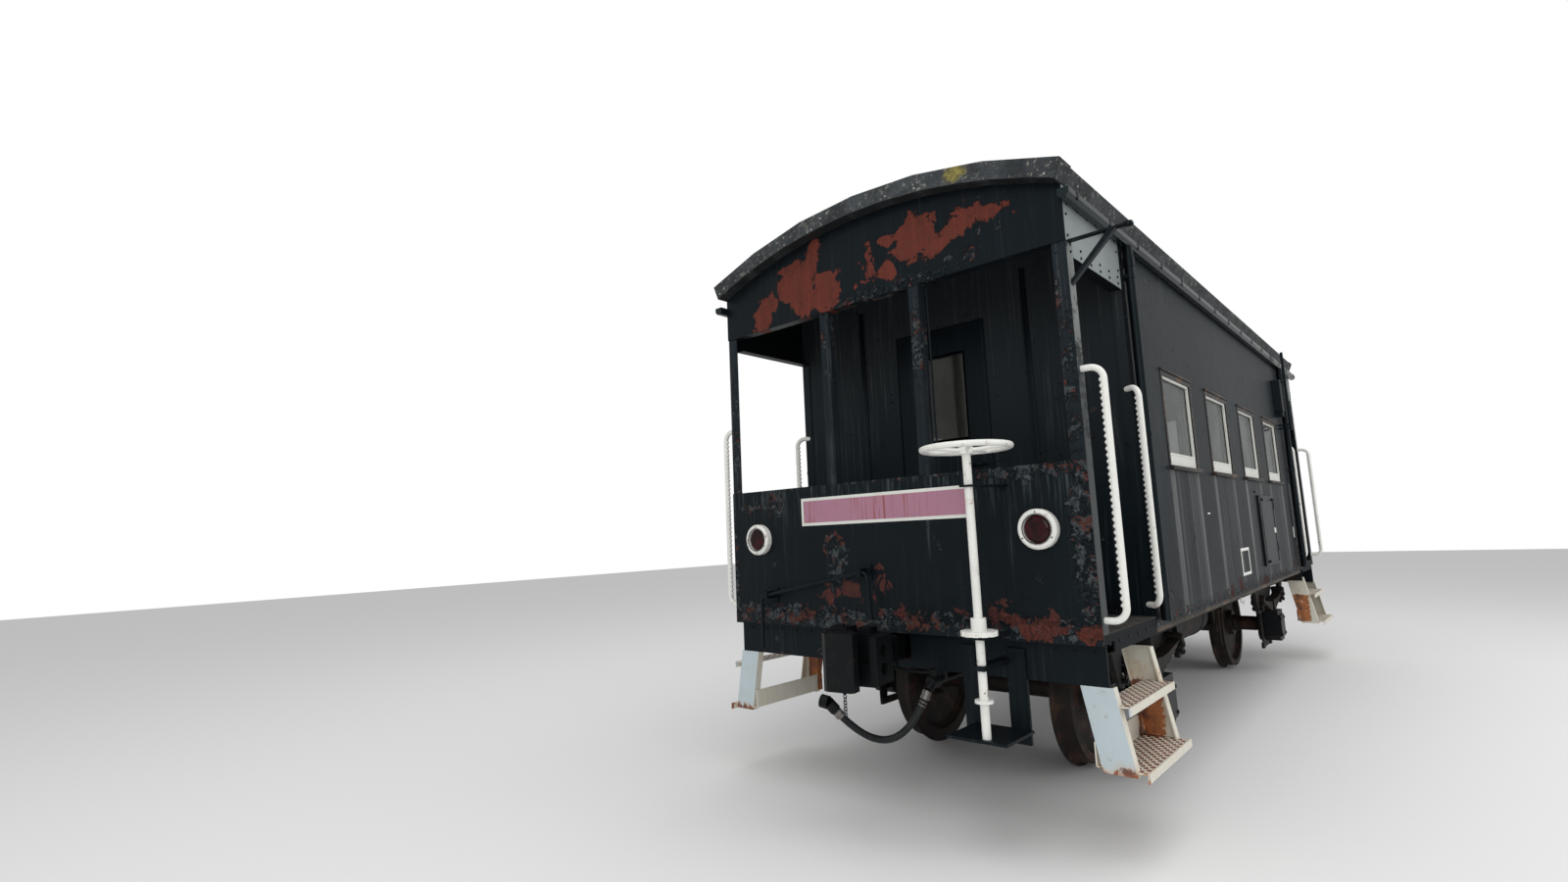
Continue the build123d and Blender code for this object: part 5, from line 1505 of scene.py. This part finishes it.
def ragged(place: float, size: float, seed: float = 0.0) -> float:
    """A small uneven shift along an edge.

    Args:
        place: Distance along the edge.
        size: Largest shift.
        seed: Picks another pattern.

    Returns:
        The shift.
    """
    return size * (noise.noise((place * 11.0, seed, 0.3)) + 0.5 * noise.noise((place * 37.0, seed, 1.7)))


@dataclass
class Rivets(Assembly):
    """Rows of rivet and bolt heads on the shell, the posts and the running gear."""

    axle: float = 1.95
    box_bolt: float = 0.013
    posts: tuple[float, ...] = (-0.315, 0.332)

    def build(self) -> None:
        """Makes the rivets."""
        self.build_sides()
        self.build_ends()
        self.build_gear()

    def build_sides(self) -> None:
        """Heads on the headers, the corner strips, the platforms' lips and the feet of the walls."""
        shape = Shape()
        near, far = -END + 0.035, -CABIN_END - 0.035
        for z in (SIDE_HEADER_BOTTOM + 0.022, HEADER_BOTTOM - 0.012, HEADER_BOTTOM + 0.20):
            shape.row((HALF, near + 0.02, z), (HALF, far - 0.02, z), 0.13, SIDEWAYS, Head.HEADER)
        low, high = HEADER_BOTTOM + 0.03, HEADER_BOTTOM + 0.25
        for y in (near, far):
            shape.row((HALF, y, low), (HALF, y, high), 0.11, SIDEWAYS, Head.HEADER)
        strip, corner = HALF + SideTrim.strip_thick, -CABIN_END + 0.022
        shape.row((strip, corner, 0.99), (strip, corner, 3.07), 0.10, SIDEWAYS, Head.CORNER)
        lip, foot = FLOOR_TOP - 0.045, 0.978
        shape.row((HALF, near + 0.04, lip), (HALF, far, lip), 0.15, SIDEWAYS, Head.LIP)
        reach = CABIN_END - 0.06
        shape.row((HALF, -reach, foot), (HALF, reach, foot), 0.14, SIDEWAYS, Head.FASCIA)
        self.add("side_rivets", shape.mirrored(0).mirrored(1), Trim.BODY_BLACK)

    def build_ends(self) -> None:
        """Heads on the fascias, the posts, the end panels and the beams."""
        shape = Shape()
        z, face = HEADER_BOTTOM + 0.028, -END + SHEET
        shape.row((-HALF + 0.04, -END, z), (HALF - 0.04, -END, z), 0.12, FORWARD, Head.FASCIA)
        rows = [(x, 0.05, 0.16, Head.CORNER) for x in (-HALF + 0.055, HALF - 0.055)]
        rows += [(x, 0.07, 0.35, Head.POST) for x in self.posts]
        for x, inset, pitch, head in rows:
            shape.row((x, face, PANEL_TOP + inset), (x, face, HEADER_BOTTOM - inset), pitch, FORWARD, head)
        z, strip, beam = PANEL_BOTTOM + 0.030, -END - EndTrim.strip_thick, -END + 0.05
        shape.row((-HALF + 0.05, strip, z), (HALF - 0.05, strip, z), 0.18, FORWARD, Head.STRIP)
        for x0, x1 in ((-HALF + 0.10, -0.46), (0.95, HALF - 0.06)):
            shape.row((x0, beam, 0.93), (x1, beam, 0.93), 0.12, FORWARD, Head.BEAM)
        self.add("end_rivets", shape.turned(), Trim.BODY_BLACK)

    def build_gear(self) -> None:
        """Bolts on the covers of the axle boxes and rivets on the axle guards."""
        shape = Shape()
        for y in (-self.axle - 0.092, -self.axle + 0.092):
            for z in (0.372, 0.522):
                shape.rod((1.045, y, z), (1.068, y, z), self.box_bolt, sides=6)
        shape.row((0.915, -2.30, 0.90), (0.915, -1.60, 0.90), 0.14, SIDEWAYS, Head.GUARD)
        self.add("gear_bolts", shape.mirrored(0).mirrored(1), Trim.IRON, "cast_iron")


@dataclass
class EndTrim(Assembly):
    """Rusted lower strips on the end panels, lamp bezels, a thin rod and a short chain."""

    strip_thick: float = 0.005
    strip_steps: int = 192
    lamp: Point = (0.945, -3.4070, 1.508)
    bezel: float = 0.0705
    screws: float = 0.084
    bell_rod: tuple[float, float] = (0.375, -3.30)
    chain: Point = (-0.005, -3.747, 0.697)
    links: int = 7

    def build(self) -> None:
        """Makes the pieces."""
        self.build_strips()
        self.build_lamps()
        x, y = self.bell_rod
        shape = Shape().rod((x, y, PANEL_TOP - 0.03), (x, y, HEADER_BOTTOM + 0.02), 0.006, sides=10)
        self.add("bell_rods", shape.turned(), Trim.BODY_BLACK)
        self.build_chain()

    def build_strips(self) -> None:
        """Makes the plates along the panels' lower edges, with eaten upper edges."""
        reach, foot = HALF - 0.004, PANEL_BOTTOM + 0.002
        outline = [(-reach, foot), (reach, foot)]
        for i in range(self.strip_steps + 1):
            x = reach - i * 2 * reach / self.strip_steps
            rise = 0.070 if x < 0.45 else 0.080
            outline.append((x, PANEL_BOTTOM + rise + ragged(x, 0.020)))
        shape = Shape().slab(outline, 1, -END - self.strip_thick, -END + 0.002)
        self.add("panel_strips", shape.turned(), Trim.STRIP)

    def build_lamps(self) -> None:
        """Makes the dark rings that hold the lenses and the screws in the white rims."""
        shape = Shape()
        across, face, up = self.lamp
        for x in (-across, across):
            shape.ring((x, face, up), (0, 1, 0), self.bezel, 0.0026, 40, 8)
            turns = (math.radians(angle) for angle in (90, 210, 330))
            shape.studs([(x + self.screws * math.cos(turn), face - 0.0005, up + self.screws * math.sin(turn))
                         for turn in turns], FORWARD, Head.SCREW)
        self.add("lamp_bezels", shape.turned(), Trim.BEZEL)

    def build_chain(self) -> None:
        """Makes the few links that hang from the coupler's knuckle pin."""
        x, y, z = self.chain
        shape = Shape().rod((x, y, z + 0.025), (x, y, z + 0.003), 0.010, sides=12)
        for i in range(self.links):
            shape.ring((x, y, z - 0.009), SIDEWAYS if i % 2 else (0, 1, 0), 0.0095, 0.0026, 14, 6)
            z -= 0.0155
        self.add("knuckle_chains", shape.turned(), Trim.IRON, "cast_iron")


@dataclass
class PaintCurls(Assembly):
    """Loose flakes of paint that stand off the end sheets, each a small tilted plate."""

    seed: int = 11
    thick: float = 0.0012
    # Rows: lowest x, highest x, lowest z, highest z, number of flakes
    fields: tuple[tuple[float, float, float, float, int], ...] = (
        (-0.20, 0.62, 2.912, 2.955, 85), (1.105, 1.185, 1.01, 1.88, 75), (-1.10, 1.10, 1.055, 1.095, 90),
        (0.60, 0.78, 2.955, 3.000, 16),
    )

    def build(self) -> None:
        """Makes the flakes."""
        chance = random.Random(self.seed)
        shape = Shape()
        for x0, x1, z0, z1, count in self.fields:
            for _ in range(count):
                wide, high = chance.uniform(0.008, 0.026), chance.uniform(0.006, 0.018)
                tilt = math.radians(chance.uniform(8, 38)) * chance.choice((-1, 1))
                off = math.sin(abs(tilt)) * high / 2
                place = (chance.uniform(x0, x1), -END - off, chance.uniform(z0, z1))
                turn = Matrix.Rotation(tilt, 4, "X") @ Matrix.Rotation(chance.uniform(-0.7, 0.7), 4, "Y")
                size = Matrix.Diagonal((wide, self.thick, high, 1.0))
                bmesh.ops.create_cube(shape.mesh, size=1.0, matrix=Matrix.Translation(place) @ turn @ size)
        self.add("paint_curls", shape.turned(), Trim.STRIP)


@dataclass
class WindowTrim(Assembly):
    """Bolted surrounds, sills, gaskets and beads of the side windows."""

    surround: float = 0.030
    bolt_pitch: float = 0.052
    face: float = HALF + 0.004
    sill: float = HALF + 0.026
    sill_reach: float = 0.035

    def build(self) -> None:
        """Makes the pieces."""
        low, high, half = WINDOW_BOTTOM, WINDOW_BOTTOM + WINDOW_HEIGHT, WINDOW_WIDTH / 2
        glass_low, glass_high, glass_half = low + 0.078, high - 0.030, half - 0.026
        rims, sills, bolts, beads, gaskets = (Shape() for _ in range(5))
        for i in range(WINDOW_COUNT):
            middle = (i - (WINDOW_COUNT - 1) / 2) * WINDOW_PITCH
            rims.frame((HALF - 0.001, self.face), middle, half + self.surround,
                       (low - self.surround, high + self.surround), self.surround)
            rims.block((HALF - 0.0055, middle - half, high - 0.016), (self.face, middle + half, high))
            y0, y1 = middle - half - self.sill_reach, middle + half + self.sill_reach
            sills.block((HALF, y0, low - 0.030), (self.sill, y1, low - 0.006), 0.004)
            sills.block((HALF, y0, high + 0.014), (HALF + 0.015, y1, high + 0.026), 0.003)
            line = self.surround / 2
            y0, y1 = middle - half - line, middle + half + line
            rows = [((self.face, y, low + 0.022), (self.face, y, high + line)) for y in (y0, y1)]
            for start, end in (*rows, ((self.sill, y0, low - 0.018), (self.sill, y1, low - 0.018))):
                bolts.row(start, end, self.bolt_pitch, SIDEWAYS, Head.WINDOW)
            beads.frame((HALF - 0.007, HALF - 0.003), middle, glass_half + 0.012,
                        (glass_low - 0.012, glass_high + 0.012), 0.008)
            gaskets.frame((HALF - 0.024, HALF - 0.018), middle, glass_half, (glass_low, glass_high), 0.004)
        self.add("window_surrounds", rims.mirrored(0), Trim.SURROUND)
        self.add("window_sills", sills.mirrored(0), Trim.SURROUND)
        self.add("window_bolts", bolts.mirrored(0), Trim.BEZEL)
        self.add("window_beads", beads.mirrored(0), Trim.CREAM, "cream_paint")
        self.add("window_gaskets", gaskets.mirrored(0), Trim.BEZEL, "hose_rubber")


@dataclass
class SideTrim(Assembly):
    """Corner strips, dark strips painted as the shadows beside the side covers' raised edges, the covers'
    latches, blank plates, sill flanges and hooks.
    """

    strip_thick: float = 0.003
    strip_width: float = 0.045
    cover: float = HALF + 0.014
    # Rows: middle along and up, width, height and outer face of each blank plate
    plates: tuple[tuple[float, float, float, float, float], ...] = (
        (1.171, 1.396, 0.050, 0.045, HALF + 0.0205), (2.313, 1.351, 0.030, 0.110, HALF + 0.002),
        (-1.150, 1.560, 0.060, 0.010, HALF + 0.002),
    )
    hook_along: float = -0.33
    # Rows: across and up at the start and at the end, and radius of each bar of a hook
    hook_bars: tuple[tuple[float, float, float, float, float], ...] = (
        (1.168, 0.935, 1.168, 0.885, 0.0065), (1.168, 0.888, 1.190, 0.875, 0.0065),
        (1.189, 0.877, 1.191, 0.905, 0.0055),
    )

    def build(self) -> None:
        """Makes the pieces."""
        strips = Shape().block((HALF - 0.002, -CABIN_END, 0.962),
                               (HALF + self.strip_thick, -CABIN_END + self.strip_width, 3.09))
        self.add("corner_strips", strips.mirrored(0).mirrored(1), Trim.BODY_BLACK)
        # A dark strip beside each side cover's raised edge: painted shadow of that edge.
        edge_shadow_strips = Shape().block((self.cover - 0.002, 0.600, 1.135), (self.cover + 0.0015, 0.650, 1.640))
        self.add("cover_edge_shadows", edge_shadow_strips.turned(), Trim.RUBBER)
        self.add("cover_latches", self.latches().turned(), Trim.BODY_BLACK)
        plates = Shape()
        for y, z, wide, high, face in self.plates:
            plates.block((HALF - 0.001, y - wide / 2, z - high / 2), (face, y + wide / 2, z + high / 2))
        self.add("side_plates", plates.turned(), Trim.WHITE, "white_paint")
        reach = CABIN_END - 0.02
        flanges = Shape().block((1.150, -reach, 0.926), (1.182, reach, 0.952), 0.002)
        self.add("sill_flanges", flanges.mirrored(0), Trim.SILL, "underframe_paint")
        hooks = Shape()
        for x0, z0, x1, z1, radius in self.hook_bars:
            hooks.rod((x0, self.hook_along, z0), (x1, self.hook_along, z1), radius, sides=10)
        self.add("sill_hooks", hooks.turned(), Trim.WHITE, "white_paint")

    def latches(self) -> Shape:
        """Returns the raised edge, the latch and the hook of one side cover."""
        shape = Shape()
        for y0, y1, z0, z1 in ((0.592, 1.228, 1.104, 1.120), (0.592, 1.228, 1.690, 1.705),
                               (1.212, 1.228, 1.12, 1.69), (0.655, 0.670, 1.12, 1.69)):
            shape.block((self.cover - 0.002, y0, z0), (self.cover + 0.004, y1, z1), 0.001, 1)
        shape.block((self.cover, 0.700, 1.660), (self.cover + 0.012, 0.760, 1.680), 0.003)
        shape.rod((self.cover, 1.170, 1.672), (self.cover + 0.020, 1.170, 1.672), 0.009, sides=12)
        shape.rod((self.cover, 0.730, 1.135), (self.cover + 0.016, 0.730, 1.135), 0.011, sides=12)
        return shape.block((HALF, 0.500, 1.730), (HALF + 0.012, 0.560, 1.742), 0.002)


@dataclass
class Treads(Assembly):
    """Raised lips of the step treads, at the crossings of the webs between their lozenges."""

    wide: float = 0.040
    long: float = 0.056
    # Rows: top, outer lip and depth of each tread
    decks: tuple[Point, ...] = ((0.422, 1.320, 0.225), (0.699, 1.268, 0.140))
    near: float = 2.645
    far: float = 3.295

    def build(self) -> None:
        """Makes the lips."""
        shape = Shape()
        rows = range(math.ceil(2 * self.near / self.long), math.floor(2 * self.far / self.long) + 1)
        for top, lip, depth in self.decks:
            first = math.ceil(2 * (lip - depth + 0.008) / self.wide)
            last = math.floor(2 * (lip - 0.012) / self.wide)
            for row in rows:
                for column in range(first, last + 1):
                    if (row + column) % 2 == 0:
                        x, y = column * self.wide / 2, -row * self.long / 2
                        shape.block((x - 0.011, y - 0.003, top - 0.001),
                                    (x + 0.011, y + 0.003, top + 0.0035))
        self.add("tread_lips", shape.mirrored(0).mirrored(1), Trim.STEP_WHITE, "white_paint")


@dataclass
class RailGrips(Assembly):
    """Toothed grips along the upright parts of the eight handrails."""

    pitch: float = 0.030
    low: float = 1.150
    high: float = 2.195
    inward: float = 0.0095
    lines: tuple[tuple[float, float], ...] = ((1.296, -3.3165), (1.2423, -2.6125))

    def build(self) -> None:
        """Makes the grips."""
        shape = Shape()
        for x, y in self.lines:
            for place in spaced((x - self.inward, y, self.low), (x - self.inward, y, self.high), self.pitch):
                middle = Vector(place)
                for way in (-1, 1):
                    shape.rod(middle, middle + Vector((0, 0, way * 0.010)), 0.0155, 0.0095, 12)
        self.add("rail_grips", shape.mirrored(0).mirrored(1), Trim.WHITE, "white_paint")


@dataclass
class RoofEdges(Assembly):
    """Folded felt over the roof's ends, lying in short straight lengths, and the gutters' straps."""

    radius: float = 3.275
    centre: float = RAIL_TOP + 0.215
    half: float = 1.232
    folds: int = 6
    steps: int = 72
    proud: float = 0.009
    depth: float = 0.094
    strap_top: float = 3.1425

    def build(self) -> None:
        """Makes the edges and the straps."""
        reach = math.asin(self.half / self.radius)
        outline = []
        for count, order, away, size, seed in (
                (self.folds, range(self.folds + 1), self.proud, 0.003, 4.0),
                (self.steps, range(self.steps, -1, -1), -self.depth, 0.006, 8.0)):
            for i in order:
                angle = reach * (2 * i / count - 1)
                radius = self.radius + away + ragged(angle * 3, size, seed)
                outline.append((radius * math.sin(angle), self.centre + radius * math.cos(angle)))
        edges = Shape().slab(outline, 1, -3.447, -3.300)
        self.add("roof_edges", edges.turned(), Trim.EDGE_FELT, "roof_paint")
        straps = Shape()
        for _, y, z in spaced((HALF, -3.30, 3.139), (HALF, 3.30, 3.139), 0.47):
            straps.block((HALF - 0.002, y - 0.011, z), (HALF + 0.060, y + 0.011, self.strap_top))
            straps.block((HALF + 0.0575, y - 0.011, 3.100), (HALF + 0.0605, y + 0.011, self.strap_top))
        self.add("gutter_straps", straps.mirrored(0), Trim.BODY_BLACK)


@dataclass
class DoorTrim(Assembly):
    """Beads around the door panes, kick plates and battens on the bulkheads."""

    face: float = -2.529
    # Rows: lowest and highest place across, lowest and highest place up
    beads: tuple[tuple[float, float, float, float], ...] = (
        (-0.184, 0.184, 2.101, 2.119), (-0.184, 0.184, 2.675, 2.693), (-0.184, -0.168, 2.119, 2.675),
        (0.168, 0.184, 2.119, 2.675),
    )
    batten: float = 0.62

    def build(self) -> None:
        """Makes the pieces."""
        for end in ("front", "rear"):
            shape = Shape()
            for x0, x1, z0, z1 in self.beads:
                shape.block((x0, self.face - 0.012, z0), (x1, self.face + 0.002, z1), 0.003)
            shape.block((-0.300, self.face - 0.002, 1.045), (0.300, self.face + 0.001, 1.225))
            if end == "rear":
                shape.turn(list(shape.mesh.verts))
            self.add(f"{end}_door_beads", shape, Trim.BODY_BLACK, body=f"{end}_door")
        battens = Shape()
        for x in (-self.batten, self.batten):
            battens.block((x - 0.018, -2.559, 1.03), (x + 0.018, -2.549, 3.12), 0.002)
        self.add("bulkhead_battens", battens.turned(), Trim.BODY_BLACK)


@dataclass
class Markings(Assembly):
    """A plain two-colour band on both end panels and a rectangle on both sides."""

    half: float = 0.58
    low: float = RAIL_TOP + 1.555
    high: float = RAIL_TOP + 1.725
    border: float = 0.018
    thick: float = 0.0012
    side_middle: float = -0.141
    side_half: float = 0.150
    side_low: float = RAIL_TOP + 1.052
    side_high: float = RAIL_TOP + 1.260
    side_line: float = 0.022

    def build(self) -> None:
        """Makes the markings."""
        for name, trim, layers, inset in (("end_band_border", Trim.CREAM, 1, 0.0),
                                          ("end_band", Trim.PINK, 2, self.border)):
            band = Shape().block((-self.half + inset, -END - layers * self.thick, self.low + inset),
                                 (self.half - inset, -END + self.thick, self.high - inset))
            self.add(name, band.turned(), trim, "cream_paint")
        side = Shape().frame((HALF - self.thick, HALF + self.thick), self.side_middle, self.side_half,
                             (self.side_low, self.side_high), self.side_line)
        self.add("side_rectangle", side.turned(), Trim.WHITE, "white_paint")


def main() -> None:
    """Builds the scene piece by piece."""
    logging.basicConfig(level=logging.INFO, format="%(name)s: %(message)s")
    PhotoCamera().build()
    finishes = Finishes()
    BrakeHoses(finishes).build()
    dress_nodes(finishes)
    for assembly in (Rivets, EndTrim, PaintCurls, WindowTrim, SideTrim, Treads, RailGrips, RoofEdges,
                     DoorTrim, Markings):
        assembly(finishes).build()
    Studio().build()


if __name__ == "__main__":
    main()
